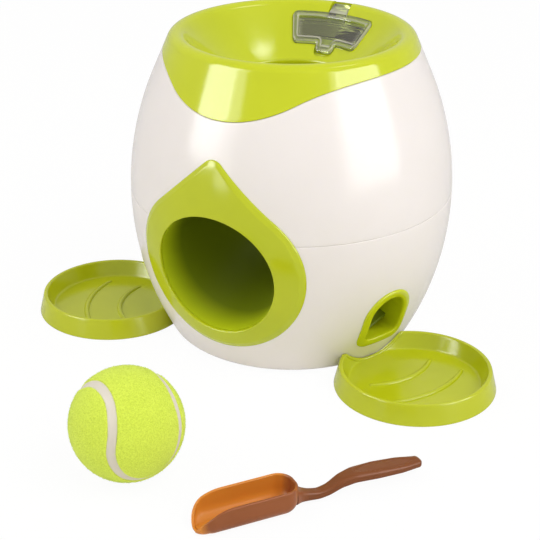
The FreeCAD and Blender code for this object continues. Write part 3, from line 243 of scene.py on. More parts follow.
@dataclass(frozen=True)
class SatinPlastic(Finish):
    """Polypropylene or nylon from a spark-eroded mould: fine grain that scatters its highlights."""

    glow: float = 0.0

    def shader_values(self) -> dict[str, Any]:
        """Softer reflection than ABS."""
        return {"IOR": 1.49, "Subsurface Weight": self.glow, "Subsurface Radius": (1.0, 0.55, 0.2),
                "Subsurface Scale": 2.5 * MM}


@dataclass(frozen=True)
class ScoopPlastic(SatinPlastic):
    """Translucent polypropylene: a painted orange glow of light on the trough's far wall, and painted shade that
    darkens the handle.
    """

    # The first colour is a painted glow of light through the trough's far wall, the second painted shade on the
    # handle
    painted_glow: str = "D6872F"
    thick: str = "7C451F"
    origin: tuple[float, float] = (72.7, -242.6)
    turn: float = 54.0
    reach: float = 57.0

    def shader_values(self) -> dict[str, Any]:
        """A weaker mirror than the mouldings in ABS."""
        return super().shader_values() | {"Specular IOR Level": 0.3}

    def surface(self, tree: bpy.types.NodeTree, place: bpy.types.NodeSocket) -> dict[str, Any]:
        """Paints the glow of light through the far side of the trough into its colour, and paints shade on the
        handle.
        """
        sockets = super().surface(tree, place)
        angle = math.radians(self.turn)
        start = add_node(tree, "ShaderNodeVectorMath",
                         {0: place, 1: (self.origin[0] * MM, self.origin[1] * MM, 0.0)},
                         operation="SUBTRACT").outputs[0]
        along = add_node(tree, "ShaderNodeVectorMath", {0: start, 1: (math.cos(angle), math.sin(angle), 0.0)},
                         operation="DOT_PRODUCT").outputs["Value"]
        across = add_node(tree, "ShaderNodeVectorMath",
                          {0: start, 1: (-math.sin(angle), math.cos(angle), 0.0)},
                          operation="DOT_PRODUCT").outputs["Value"]
        far = add_node(tree, "ShaderNodeMapRange", {
            "Value": across, "From Min": -9.6 * MM, "From Max": -6.5 * MM}).outputs["Result"]
        front = add_node(tree, "ShaderNodeMapRange", {
            "Value": along, "From Min": self.reach * MM,
            "From Max": (self.reach - 3.0) * MM}).outputs["Result"]
        # Where the painted glow lies: the far wall, short of the lip
        share = add_node(tree, "ShaderNodeMath", {0: far, 1: front}, operation="MULTIPLY").outputs[0]
        node = add_node(tree, "ShaderNodeMix", {0: share, 6: sockets["Base Color"], 7: srgb(self.painted_glow)},
                        data_type="RGBA")
        # Painted shade over the handle
        rear = add_node(tree, "ShaderNodeMapRange", {
            "Value": along, "From Min": self.reach * MM,
            "From Max": (self.reach + 9.0) * MM}).outputs["Result"]
        node = add_node(tree, "ShaderNodeMix", {0: rear, 6: node.outputs[2], 7: srgb(self.thick)},
                        data_type="RGBA")
        return sockets | {"Base Color": node.outputs[2]}


@dataclass(frozen=True)
class ClearPlastic(Finish):
    """Clear polycarbonate: a tinted see-through body, with pale highlight lines painted along its ridges."""

    haze: float = 0.09
    painted_rim_highlight: float = 0.52

    def build(self) -> bpy.types.Material:
        """Mixes the tinted body, its haze with the painted rim highlights, and its mirroring skin."""
        material = empty_material(self.slot)
        tree = material.node_tree
        place = add_node(tree, "ShaderNodeTexCoord").outputs["Object"]
        ripple = add_node(tree, "ShaderNodeTexNoise", {
            "Vector": place, "Scale": 1.0 / (self.grain * 3.0 * MM), "Detail": 2.0}).outputs["Fac"]
        normal = add_node(tree, "ShaderNodeBump", {
            "Height": ripple, "Strength": 1.0, "Distance": self.relief * MM}).outputs["Normal"]
        body = add_node(tree, "ShaderNodeBsdfTransparent", {"Color": srgb(self.colour)})
        milk = add_node(tree, "ShaderNodeBsdfDiffuse", {"Color": srgb(self.tint), "Normal": normal})
        # The rim mark raises the milky share along the ridges: painted highlight lines
        rim = add_node(tree, "ShaderNodeAttribute", attribute_name="rim").outputs["Fac"]
        share = add_node(tree, "ShaderNodeMapRange", {
            "Value": rim, "From Min": 0.0, "From Max": 1.0, "To Min": self.haze,
            "To Max": self.painted_rim_highlight}).outputs["Result"]
        clear = add_node(tree, "ShaderNodeMixShader", {0: share, 1: body.outputs[0], 2: milk.outputs[0]})
        skin = add_node(
            tree, "ShaderNodeBsdfAnisotropic",
            {"Color": srgb("FFFFFF"), "Roughness": self.roughness, "Normal": normal})
        edge = add_node(tree, "ShaderNodeFresnel", {"IOR": 1.585, "Normal": normal}).outputs[0]
        mixed = add_node(tree, "ShaderNodeMixShader", {0: edge, 1: clear.outputs[0], 2: skin.outputs[0]})
        add_node(tree, "ShaderNodeOutputMaterial", {"Surface": mixed.outputs[0]})
        return material


@dataclass(frozen=True)
class Steel(Finish):
    """Zinc-plated or drawn steel: fine lines along the piece spread its highlight across them."""

    lines: tuple[float, float, float] = (0.05, 1.0, 1.0)

    def shader_values(self) -> dict[str, Any]:
        """Metal."""
        return {"Metallic": 1.0}

    def surface(self, tree: bpy.types.NodeTree, place: bpy.types.NodeSocket) -> dict[str, Any]:
        """Adds drawn lines to the patches."""
        stretched = add_node(tree, "ShaderNodeMapping",
                             {"Vector": place, "Scale": self.lines}).outputs["Vector"]
        drawn = add_node(tree, "ShaderNodeTexNoise", {
            "Vector": stretched, "Scale": 1.0 / (self.grain * MM), "Detail": 4.0,
            "Roughness": 0.7}).outputs["Fac"]
        patches = add_node(tree, "ShaderNodeTexNoise", {
            "Vector": place, "Scale": 1.0 / (self.patch * MM), "Detail": 3.0}).outputs["Fac"]
        stain = add_node(tree, "ShaderNodeMapRange", {"Value": patches, "From Min": 0.3, "From Max": 0.7})
        colour = add_node(tree, "ShaderNodeMix", {
            0: stain.outputs["Result"], 6: srgb(self.colour), 7: srgb(self.tint)}, data_type="RGBA")
        gloss = add_node(tree, "ShaderNodeMapRange", {
            "Value": drawn, "From Min": 0.3, "From Max": 0.7, "To Min": self.roughness,
            "To Max": self.roughness + self.spread})
        relief = add_node(tree, "ShaderNodeBump",
                          {"Height": drawn, "Strength": 1.0, "Distance": self.relief * MM})
        return {"Base Color": colour.outputs[2], "Roughness": gloss.outputs["Result"],
                "Normal": relief.outputs["Normal"]}


@dataclass(frozen=True)
class Felt(Finish):
    """Needled wool and nylon felt: matted fibres give it a grain, a deeper pile and a soft sheen."""

    def shader_values(self) -> dict[str, Any]:
        """Sheen of loose fibre ends."""
        return {"IOR": 1.45, "Specular IOR Level": 0.15, "Sheen Weight": 0.35, "Sheen Roughness": 0.6,
                "Sheen Tint": srgb("F2FFA8"), "Subsurface Weight": 0.12, "Subsurface Radius": (1.0, 1.0, 0.3),
                "Subsurface Scale": 1.2 * MM}

    def surface(self, tree: bpy.types.NodeTree, place: bpy.types.NodeSocket) -> dict[str, Any]:
        """Matted tufts over a coarser nap."""
        tufts = add_node(
            tree, "ShaderNodeTexVoronoi",
            {"Vector": place, "Scale": 1.0 / (self.grain * 1.6 * MM),
            "Randomness": 1.0}).outputs["Distance"]
        nap = add_node(tree, "ShaderNodeTexNoise", {
            "Vector": place, "Scale": 1.0 / (self.grain * MM), "Detail": 6.0,
            "Roughness": 0.75}).outputs["Fac"]
        both = add_node(tree, "ShaderNodeMath", {0: nap, 1: tufts}, operation="ADD").outputs[0]
        share = add_node(tree, "ShaderNodeMapRange", {"Value": nap, "From Min": 0.32, "From Max": 0.64})
        colour = add_node(tree, "ShaderNodeMix", {
            0: share.outputs["Result"], 6: srgb(self.tint), 7: srgb(self.colour)}, data_type="RGBA")
        matt = add_node(tree, "ShaderNodeMapRange", {
            "Value": nap, "From Min": 0.2, "From Max": 0.8, "To Min": self.roughness,
            "To Max": self.roughness + self.spread})
        relief = add_node(tree, "ShaderNodeBump",
                          {"Height": both, "Strength": 1.0, "Distance": self.relief * MM})
        return {"Base Color": colour.outputs[2], "Roughness": matt.outputs["Result"],
                "Normal": relief.outputs["Normal"]}


FINISHES: tuple[Finish, ...] = (
    # Polished ABS, yellow-green: its low roughness keeps the edges of mirrored windows sharp
    GlossPlastic("green_gloss", "C5CE18", "C0C912", 0.10, 0.05, 0.5, 0.0012),
    # The same ABS on the frame and spouts, a shade deeper where it sits in the body's shadow
    GlossPlastic("green_frame", "BDC61A", "B6C014", 0.12, 0.05, 0.5, 0.0012),
    # Tray ABS, thinner and handled more, so its gloss is a little broken
    # Its green is set a little deeper than the funnel's, as painted shade
    GlossPlastic("tray_green", "BCC318", "B5BD12", 0.15, 0.07, 0.5, 0.0016),
    # The tunnel's ABS, plain tool finish; paler than the other greens as painted light, deepened inside as painted
    # shade
    TunnelPlastic("chute_green", "D3E11C", "C8D816", 0.40, 0.10, 0.6, 0.003),
    # Polished warm white ABS: slight glow under the skin softens its shading
    GlossPlastic("white_gloss", "EBE5E2", "E9E3DF", 0.16, 0.05, 0.5, 0.0012, glow=0.08, shine=0.28),
    # Clear polycarbonate of the hatch with a slight green smoke
    ClearPlastic("clear_gloss", "E6EEB4", "EAE6D2", 0.04, 0.02, 1.0, 0.002),
    # Orange-brown translucent polypropylene of the scoop
    ScoopPlastic("brown", "96562D", "8F5129", 0.30, 0.10, 0.35, 0.004, glow=0.12),
    # Natural polypropylene of the hopper, milky and satin
    SatinPlastic("natural_plastic", "DEDCD2", "D5D2C4", 0.42, 0.1, 0.4, 0.006, glow=0.1),
    # Grey nylon of wheel, drums, cam and base plate, with a sparked grain
    SatinPlastic("grey_plastic", "5A5E62", "53575B", 0.45, 0.12, 0.35, 0.010),
    # Zinc-plated steel of screws, pin, axle and spring
    Steel("steel", "C4C8CE", "B2B4B0", 0.24, 0.16, 0.25, 0.0015),
    # Sintered bronze bushes, porous and dull
    Steel("bearing_brass", "A98A52", "8E713E", 0.38, 0.12, 0.35, 0.004, lines=(1.0, 1.0, 1.0)),
    # Soft black rubber of the pads
    SatinPlastic("rubber", "2A2A2A", "333331", 0.7, 0.15, 0.5, 0.02),
    # Rubber of the ball's core and of the seam's cement
    SatinPlastic("ball_rubber", "DAD2C4", "CFC6B6", 0.62, 0.12, 0.9, 0.05),
    # Optic-yellow felt, a nap of 0.75 mm between tufts of 1.2 mm
    Felt("felt", "E6F75E", "BED23E", 0.86, 0.12, 0.75, 0.14),
)


# Outlines and meshes

def rounded_loop(corners: Sequence[Corner], arc_steps: int = 5, runs: int | Sequence[int] = 0) -> Array:
    """Rounds the corners of a closed outline.

    Args:
        corners: x, y and radius of each corner, in order. A radius of zero stays sharp.
        arc_steps: Steps round each corner.
        runs: Extra points on the straight run after each corner, one number or one for each.

    Returns:
        Points of the closed outline, one row each. Their number depends only on which radii are zero.
    """
    count = len(corners)
    extra = [runs] * count if isinstance(runs, int) else list(runs)
    pieces: list[Array] = []
    for number, (x, y, radius) in enumerate(corners):
        corner = np.array((x, y))
        before = np.array(corners[number - 1][:2]) - corner
        after = np.array(corners[(number + 1) % count][:2]) - corner
        before /= max(np.linalg.norm(before), 1e-9)
        after /= max(np.linalg.norm(after), 1e-9)
        if radius <= 0.0:
            pieces.append(corner[None, :])
            continue
        half = math.acos(max(-1.0, min(1.0, float(before @ after)))) / 2
        reach = radius / max(math.tan(half), 1e-6)
        middle = corner + (before + after) / max(
            np.linalg.norm(before + after), 1e-9) * radius / math.sin(half)
        first, last = corner + before * reach - middle, corner + after * reach - middle
        start = math.atan2(first[1], first[0])
        turn = math.atan2(last[1], last[0]) - start
        turn = (turn + math.pi) % (2 * math.pi) - math.pi
        angles = start + turn * np.linspace(0.0, 1.0, arc_steps + 1)
        pieces.append(middle + radius * np.stack([np.cos(angles), np.sin(angles)], axis=1))
    outline: list[Array] = []
    for number, piece in enumerate(pieces):
        outline.append(piece)
        follower = pieces[(number + 1) % count][0]
        for step in range(1, extra[number] + 1):
            share = step / (extra[number] + 1)
            outline.append((piece[-1] * (1 - share) + follower * share)[None, :])
    return np.concatenate(outline)


def arc(middle: tuple[float, float], radius: float, start: float, end: float, steps: int) -> Array:
    """Points on an arc from one angle to another, in degrees."""
    angles = np.radians(np.linspace(start, end, steps + 1))
    return np.stack([middle[0] + radius * np.cos(angles), middle[1] + radius * np.sin(angles)], axis=1)


def finish_mesh(name: str, mesh: bmesh.types.BMesh, sharp: float = SHARP_ANGLE) -> bpy.types.Object:
    """Turns a bmesh into an object with outward normals and smooth shading between sharp edges.

    Args:
        name: The object's name.
        mesh: The bmesh, which is freed.
        sharp: Edges that turn more than this stay sharp.

    Returns:
        The linked object.
    """
    bmesh.ops.remove_doubles(mesh, verts=mesh.verts, dist=WELD)
    bmesh.ops.dissolve_degenerate(mesh, edges=mesh.edges, dist=WELD)
    bmesh.ops.recalc_face_normals(mesh, faces=mesh.faces)
    data = bpy.data.meshes.new(name)
    mesh.to_mesh(data)
    mesh.free()
    data.shade_smooth()
    data.set_sharp_from_angle(angle=sharp)
    return add_object(name, data)


def grid_solid(name: str, rings: Array, wrap: bool = True) -> bpy.types.Object:
    """Joins closed rings to a solid.

    Args:
        name: The object's name.
        rings: Points in millimetres, shaped (rings, points, 3).
        wrap: True joins the last ring to the first, False closes both ends with a cap.

    Returns:
        The linked object.
    """
    count, around = rings.shape[:2]
    mesh = bmesh.new()
    points = [mesh.verts.new(point) for point in (rings.reshape(-1, 3) * MM).tolist()]
    for ring in range(count if wrap else count - 1):
        here, there = ring * around, (ring + 1) % count * around
        for step in range(around):
            ahead = (step + 1) % around
            mesh.faces.new((points[here + step], points[here + ahead], points[there + ahead],
                            points[there + step]))
    if not wrap:
        mesh.faces.new(points[:around])
        mesh.faces.new(points[-around:])
    return finish_mesh(name, mesh)


def spin(name: str, outline: Array, steps: int = 360, start: float = 0.0, end: float = 360.0,
         centre: tuple[float, float] = (0.0, 0.0)) -> bpy.types.Object:
    """Turns a closed (radius, height) outline about an upright axis.

    Args:
        name: The object's name.
        outline: Points of the outline.
        steps: Steps round the turn.
        start: First angle in degrees, from the front towards +X.
        end: Last angle.
        centre: The axis.

    Returns:
        The linked solid.
    """
    full = abs(end - start) >= 360.0
    angles = np.radians(np.linspace(start, end, steps, endpoint=not full))
    rings = np.empty((len(angles), len(outline), 3))
    rings[:, :, 0] = centre[0] + np.sin(angles)[:, None] * outline[None, :, 0]
    rings[:, :, 1] = centre[1] - np.cos(angles)[:, None] * outline[None, :, 0]
    rings[:, :, 2] = outline[None, :, 1]
    return grid_solid(name, rings, wrap=full)


def rod(name: str, start: Sequence[float], end: Sequence[float], radius: float,
        steps: int = 96) -> bpy.types.Object:
    """A plain cylinder between two points."""
    first, last = Vector(start), Vector(end)
    turn = (last - first).to_track_quat("Z", "Y").to_matrix()
    circle = np.array([turn @ Vector((math.cos(a), math.sin(a), 0.0))
                       for a in np.linspace(0, 2 * math.pi, steps, False)])
    rings = np.stack([np.array(first) + circle * radius, np.array(last) + circle * radius])
    return grid_solid(name, rings, wrap=False)


def extruded(name: str, outline: Array, low: float, high: float, axis: int) -> bpy.types.Object:
    """Pushes a flat outline along one axis.

    Args:
        name: The object's name.
        outline: Points in the two other axes, in their order.
        low: Start along the axis.
        high: End along the axis.
        axis: 0 for X, 1 for Y, 2 for Z.

    Returns:
        The linked solid.
    """
    others = [number for number in range(3) if number != axis]
    rings = np.empty((2, len(outline), 3))
    for number, level in enumerate((low, high)):
        rings[number][:, axis] = level
        rings[number][:, others] = outline
    return grid_solid(name, rings, wrap=False)


def combine(target: bpy.types.Object, tools: Iterable[bpy.types.Object], way: str = "DIFFERENCE",
            sharp: float = SHARP_ANGLE) -> bpy.types.Object:
    """Cuts tools out of a solid, or joins them to it, and deletes the tools.

    Args:
        target: The solid.
        tools: Closed solids.
        way: The modifier's operation.
        sharp: Edges that turn more than this stay sharp.

    Returns:
        The target with its new mesh.
    """
    tools = list(tools)
    for tool in tools:
        modifier = target.modifiers.new("cut", "BOOLEAN")
        modifier.operation = way
        modifier.solver = "EXACT"
        modifier.object = tool
    graph = bpy.context.evaluated_depsgraph_get()
    mesh = bpy.data.meshes.new_from_object(target.evaluated_get(graph), depsgraph=graph)
    target.modifiers.clear()
    old = target.data
    target.data = mesh
    mesh.name = target.name
    bpy.data.meshes.remove(old)
    for tool in tools:
        data = tool.data
        bpy.data.objects.remove(tool)
        bpy.data.meshes.remove(data)
    mesh.shade_smooth()
    mesh.set_sharp_from_angle(angle=sharp)
    return target


def join(target: bpy.types.Object, others: Iterable[bpy.types.Object]) -> bpy.types.Object:
    """Adds other objects' meshes to an object and deletes them."""
    mesh = bmesh.new()
    mesh.from_mesh(target.data)
    for other in others:
        mesh.from_mesh(other.data)
        data = other.data
        bpy.data.objects.remove(other)
        bpy.data.meshes.remove(data)
    mesh.to_mesh(target.data)
    mesh.free()
    return target


def mirrored(item: bpy.types.Object, name: str) -> bpy.types.Object:
    """A copy mirrored in X with its normals kept outward."""
    mesh = bmesh.new()
    mesh.from_mesh(item.data)
    mesh.transform(Matrix.Scale(-1.0, 4, Vector((1.0, 0.0, 0.0))))
    bmesh.ops.reverse_faces(mesh, faces=mesh.faces)
    return finish_mesh(name, mesh)


class Recipe:
    """A Geometry Nodes group with named inputs that grows the geometry of one kind of detail."""

    def __init__(self, name: str) -> None:
        """Starts the group with a geometry and a material input."""
        self.tree = bpy.data.node_groups.new(name, "GeometryNodeTree")
        self.keys: dict[str, str] = {}
        self.take("Geometry", "NodeSocketGeometry")
        self.take("Material", "NodeSocketMaterial")
        self.tree.interface.new_socket(name="Geometry", in_out="OUTPUT", socket_type="NodeSocketGeometry")

    def take(self, name: str, kind: str = "NodeSocketFloat") -> None:
        """Adds a named input."""
        socket = self.tree.interface.new_socket(name=name, in_out="INPUT", socket_type=kind)
        self.keys[name] = socket.identifier

    def start(self) -> bpy.types.Node:
        """The node that gives the inputs."""
        return add_node(self.tree, "NodeGroupInput")

    def add(self, kind: str, inputs: dict[Any, Any] | None = None, **settings: Any) -> bpy.types.Node:
        """Adds a node to the group."""
        return add_node(self.tree, kind, inputs, **settings)

    def end(self, geometry: bpy.types.NodeSocket, material: bpy.types.NodeSocket) -> None:
        """Realizes the instances, sets the material and closes the group."""
        real = self.add("GeometryNodeRealizeInstances", {"Geometry": geometry})
        painted = self.add("GeometryNodeSetMaterial",
                           {"Geometry": real.outputs["Geometry"], "Material": material})
        self.add("NodeGroupOutput", {"Geometry": painted.outputs["Geometry"]})

    def grow(self, item: bpy.types.Object, values: dict[str, Any]) -> bpy.types.Object:
        """Runs the group on an object and keeps the result as its mesh.

        Args:
            item: The object whose geometry enters the group.
            values: Values by input name.

        Returns:
            The same object with a plain mesh.
        """
        modifier = item.modifiers.new(self.tree.name, "NODES")
        modifier.node_group = self.tree
        for name, value in values.items():
            modifier[self.keys[name]] = value
        item.update_tag()
        graph = bpy.context.evaluated_depsgraph_get()
        mesh = bpy.data.meshes.new_from_object(item.evaluated_get(graph), depsgraph=graph)
        item.modifiers.clear()
        item.data = mesh
        mesh.name = item.name
        return item


def points_object(name: str, spots: Sequence[Sequence[float]]) -> bpy.types.Object:
    """An object of loose points, in millimetres."""
    data = bpy.data.meshes.new(name)
    data.from_pydata([tuple(value * MM for value in spot) for spot in spots], [], [])
    return add_object(name, data)


# The shapes that several sub-assemblies share

@dataclass(frozen=True)
class Barrel:
    """The housing's round outline: a small foot arc, one large arc and a straight flank."""

    belly_radius: float = 103.2
    belly_height: float = 95.0
    arc_radius: float = 190.0
    collar_start: float = 171.0
    foot_round: float = 6.5

    @property
    def sine(self) -> float:
        """Sine of the flank's lean."""
        return (self.collar_start - self.belly_height) / self.arc_radius

    @property
    def cosine(self) -> float:
        """Cosine of the flank's lean."""
        return math.sqrt(1.0 - self.sine ** 2)

    @property
    def stand(self) -> float:
        """Radius of the standing ring's outer edge."""
        reach, drop = self.arc_radius - self.foot_round, self.belly_height - self.foot_round
        return self.belly_radius - self.arc_radius + math.sqrt(reach ** 2 - drop ** 2)

    @property
    def foot_top(self) -> float:
        """Height where the foot meets the large arc."""
        scale = self.arc_radius / (self.arc_radius - self.foot_round)
        return self.belly_height - (self.belly_height - self.foot_round) * scale

    def radius(self, height: Array | float, offset: Array | float = 0.0) -> Array:
        """The barrel's radius.

        Args:
            height: Heights in millimetres.
            offset: Distance outwards from the surface.

        Returns:
            The radii.
        """
        height, offset = np.asarray(height, float), np.asarray(offset, float)
        bend = self.arc_radius + offset
        bulge = self.belly_radius - self.arc_radius + np.sqrt(np.maximum(bend ** 2 - (height - self.belly_height) ** 2, 0))
        start = self.belly_height + bend * self.sine
        flank = self.belly_radius - self.arc_radius + bend * self.cosine - (height - start) * self.sine / self.cosine
        edge = self.foot_round + offset
        foot = self.stand + np.sqrt(np.maximum(edge ** 2 - (self.foot_round - height) ** 2, 0))
        return np.where(height > start, flank, np.where(height < self.foot_top, foot, bulge))

    def outline(self, low: float, high: float, offset: float, steps: int) -> Array:
        """Points up the surface."""
        heights = np.linspace(low, high, steps + 1)
        return np.stack([self.radius(heights, offset), heights], axis=1)

    def solid(self, name: str, offset: float, low: float, high: float, steps: int = 360) -> bpy.types.Object:
        """Everything inside the surface between two heights."""
        side = self.outline(low, high, offset, 60)
        outline = np.concatenate([[(0.0, low)], side, [(0.0, high)]])
        return spin(name, outline, steps)


@dataclass(frozen=True)
class Wave:
    """The wavy line between the green collar and the white housing."""

    low: float = 166.0
    depth: float = 22.3
    half_width: float = 84.0

    def height(self, across: Array) -> Array:
        """Height of the line at a distance from the middle."""
        across = np.minimum(np.abs(across), self.half_width)
        bend = (self.half_width ** 2 + self.depth ** 2) / (4 * self.depth)
        hollow = self.low + bend - np.sqrt(bend ** 2 - np.minimum(across, self.half_width / 2) ** 2)
        rest = np.minimum(self.half_width - across, self.half_width / 2)
        crest = self.low + self.depth - bend + np.sqrt(bend ** 2 - rest ** 2)
        return np.where(across < self.half_width / 2, hollow, crest)

    def round(self, barrel: Barrel, angles: Array) -> Array:
        """Height of the line at each angle from the front.

        Args:
            barrel: The surface that the line lies on.
            angles: Angles in radians.

        Returns:
            The heights. The line is level at the back.
        """
        heights = np.full(len(angles), self.low + self.depth)
        for _ in range(24):
            heights = 0.5 * (heights + self.height(barrel.radius(heights) * np.sin(angles)))
        back = np.cos(angles) < 0.0
        return np.where(back, self.low + self.depth, heights)


@dataclass(frozen=True)
class Cone:
    """The bowl's straight inner wall, and a chart of distances along and across it."""

    edge: tuple[float, float] = (66.8, 195.98)
    slope: float = math.radians(44.0)
    chart_radius: float = 55.0
    throat: float = 36.5
    hollow: float = 1.0

    def point(self, radius: Array, rise: Array | float = 0.0) -> tuple[Array, Array]:
        """Radius and height of a point lifted off the wall."""
        share = np.clip((radius - self.throat) / (self.edge[0] - self.throat), 0.0, 1.0)
        height = self.edge[1] - (self.edge[0] - radius) * math.tan(self.slope) - 4 * self.hollow * share * (1 - share)
        return radius - rise * math.sin(self.slope), height + rise * math.cos(self.slope)

    def place(self, across: Array, radius: Array, rise: Array | float) -> Array:
        """Takes chart points at the back of the bowl to space.

        Args:
            across: Distances to the right, measured at the chart's radius.
            radius: Radii on the wall.
            rise: Distances off the wall.

        Returns:
            Points with x, y and z in the last axis.
        """
        angle = across / self.chart_radius
        reach, height = self.point(radius, rise)
        return np.stack([reach * np.sin(angle), reach * np.cos(angle), height + 0.0 * angle], axis=-1)

    def block(self, name: str, outline: Array, low: float, high: float) -> bpy.types.Object:
        """A block over an outline in the chart, between two rises."""
        rises = np.linspace(low, high, 3)
        rings = np.stack([self.place(outline[:, 0], outline[:, 1], np.full(len(outline), rise))
                          for rise in rises])
        return grid_solid(name, rings, wrap=False)


BARREL = Barrel()
WAVE = Wave()
CONE = Cone()


@dataclass(frozen=True)
class Tunnel:
    """The ball's way down: a straight drop, one bend and a slanting tunnel."""

    radius: float = 39.3
    wall: float = 2.0
    bend: float = 50.0
    slope: float = math.radians(12.0)
    exit_depth: float = 97.0
    exit_height: float = 71.5
    top: float = 158.0
    drop_steps: int = 12
    bend_steps: int = 30

    @property
    def ahead(self) -> Array:
        """Direction of the slanting tunnel."""
        return np.array((0.0, -math.cos(self.slope), -math.sin(self.slope)))

    @property
    def bend_height(self) -> float:
        """Height where the drop turns into the bend."""
        run = self.exit_depth - self.bend * (1 - math.sin(self.slope))
        return self.exit_height + run * math.tan(self.slope) + self.bend * math.cos(self.slope)

    def middle_height(self, depth: Array) -> Array:
        """Height of the slanting tunnel's axis at a y."""
        return self.exit_height + (depth + self.exit_depth) * math.tan(self.slope)

    def cutter(self, name: str, gap: float) -> bpy.types.Object:
        """The slanting part's outside as a rod, with a gap round it."""
        middle = np.array((0.0, -self.exit_depth, self.exit_height))
        return rod(name, middle - self.ahead * 25, middle + self.ahead * 55, self.radius + self.wall + gap,
                   240)

    def centres(self) -> list[tuple[Array, float]]:
        """Centres of the rings down to the end of the bend, and how far each has turned."""
        spots = [(np.array((0.0, 0.0, z)), 0.0)
                 for z in np.linspace(self.top, self.bend_height, self.drop_steps + 1)]
        sweep = math.pi / 2 - self.slope
        angles = np.linspace(0.0, sweep, self.bend_steps + 1)[1:]
        for number, angle in enumerate(angles, 1):
            middle = np.array((0.0, -self.bend + self.bend * math.cos(angle),
                               self.bend_height - self.bend * math.sin(angle)))
            spots.append((middle, number / self.bend_steps * sweep))
        return spots


TUNNEL = Tunnel()


class Body(Enum):
    """The record's moving bodies."""

    HOUSING = "housing"
    HATCH = "hatch"
    ROTOR = "rotor"
    RIGHT_TRAY = "right_tray"
    LEFT_TRAY = "left_tray"
    BALL = "ball"
    SCOOP = "scoop"


@dataclass
class Wardrobe:
    """Builds each finish once and dresses pieces with it."""

    made: dict[str, bpy.types.Material] = field(default_factory=dict)

    def material(self, slot: str) -> bpy.types.Material:
        """The material of a slot, made on first use."""
        if slot not in self.made:
            finish = next(entry for entry in FINISHES if entry.slot == slot)
            self.made[slot] = finish.build()
        return self.made[slot]

    def dress(self, item: bpy.types.Object, slot: str, body: Body, *nodes: str) -> bpy.types.Object:
        """Gives a new piece its finish and body, in the place of its nodes.

        Args:
            item: The piece.
            slot: The record's material slot.
            body: The body that it rides on.
            *nodes: The frame's nodes that it replaces.

        Returns:
            The piece.
        """
        item.data.materials.clear()
        item.data.materials.append(self.material(slot))
        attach(item, body.value)
        if nodes:
            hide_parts(*nodes)
        LOG.info("%s: %d faces", item.name, len(item.data.polygons))
        return item


# Housing

@dataclass
class Housing:
    """The two white shells of the housing."""

    wall: float = 2.5
    seam: float = 97.0
    tongue: float = 4.0
    tongue_gap: float = 0.3
    joint_gap: float = 0.25
    edge: float = 0.6
    steps: int = 480

    def upper_shell(self) -> bpy.types.Object:
        """The upper half, whose top follows the wave."""
        angles = np.linspace(0.0, 2 * math.pi, self.steps, endpoint=False)
        tops = WAVE.round(BARREL, angles) - self.joint_gap
        rings = []
        groove = 1.1 - self.wall + self.tongue_gap
        groove_top = self.seam + self.tongue + self.tongue_gap
        for angle, top in zip(angles, tops):
            section = rounded_loop([(groove, self.seam, 0.12), (0.0, self.seam, self.edge),
                                    (0.0, top, self.edge),
                                    (-self.wall, top, 0.3), (-self.wall, groove_top, 0.0),
                                    (groove, groove_top, 0.0)],
                                   4, (0, 48, 0, 24, 0, 1))
            reach = BARREL.radius(section[:, 1], section[:, 0])
            rings.append(np.stack([reach * math.sin(angle), -reach * math.cos(angle), section[:, 1]], axis=1))
        shell = grid_solid("upper_shell_skin", np.stack(rings))
        return combine(shell, [TUNNEL.cutter("tunnel", 0.6)])

    def lower_shell(self, spouts: "Spouts") -> bpy.types.Object:
        """The lower half, with its rounded foot and standing ring."""
        foot = arc((BARREL.stand, BARREL.foot_round), BARREL.foot_round, -90.0, -28.8, 10)
        ring = BARREL.stand - 3.5
        loop = rounded_loop([(0.0, 3.6, 0.0), (0.0, self.seam, self.edge), (1.1 - self.wall, self.seam, 0.0),
                             (1.1 - self.wall, self.seam + self.tongue, 0.3),
                             (-self.wall, self.seam + self.tongue, 0.3),
                             (-self.wall, 6.5, 0.0)], 4, (60, 0, 0, 0, 30, 0))
        side = np.stack([BARREL.radius(loop[:, 1], loop[:, 0]), loop[:, 1]], axis=1)
        inside = np.array([(ring - 4.5, 6.5), (ring - 4.5, 4.0), (ring, 4.0), (ring, 0.2), (ring + 0.2, 0.0)])
        shell = spin("lower_shell_skin", np.concatenate([foot, side, inside]), self.steps)
        return combine(shell, [TUNNEL.cutter("tunnel", 0.6), spouts.duct_cutter(1), spouts.duct_cutter(-1)])

    def dress(self, wardrobe: Wardrobe, spouts: "Spouts") -> None:
        """Builds both shells and dresses them."""
        wardrobe.dress(self.upper_shell(), "white_gloss", Body.HOUSING, "upper_shell")
        wardrobe.dress(self.lower_shell(spouts), "white_gloss", Body.HOUSING, "lower_shell")


# Funnel and hatch

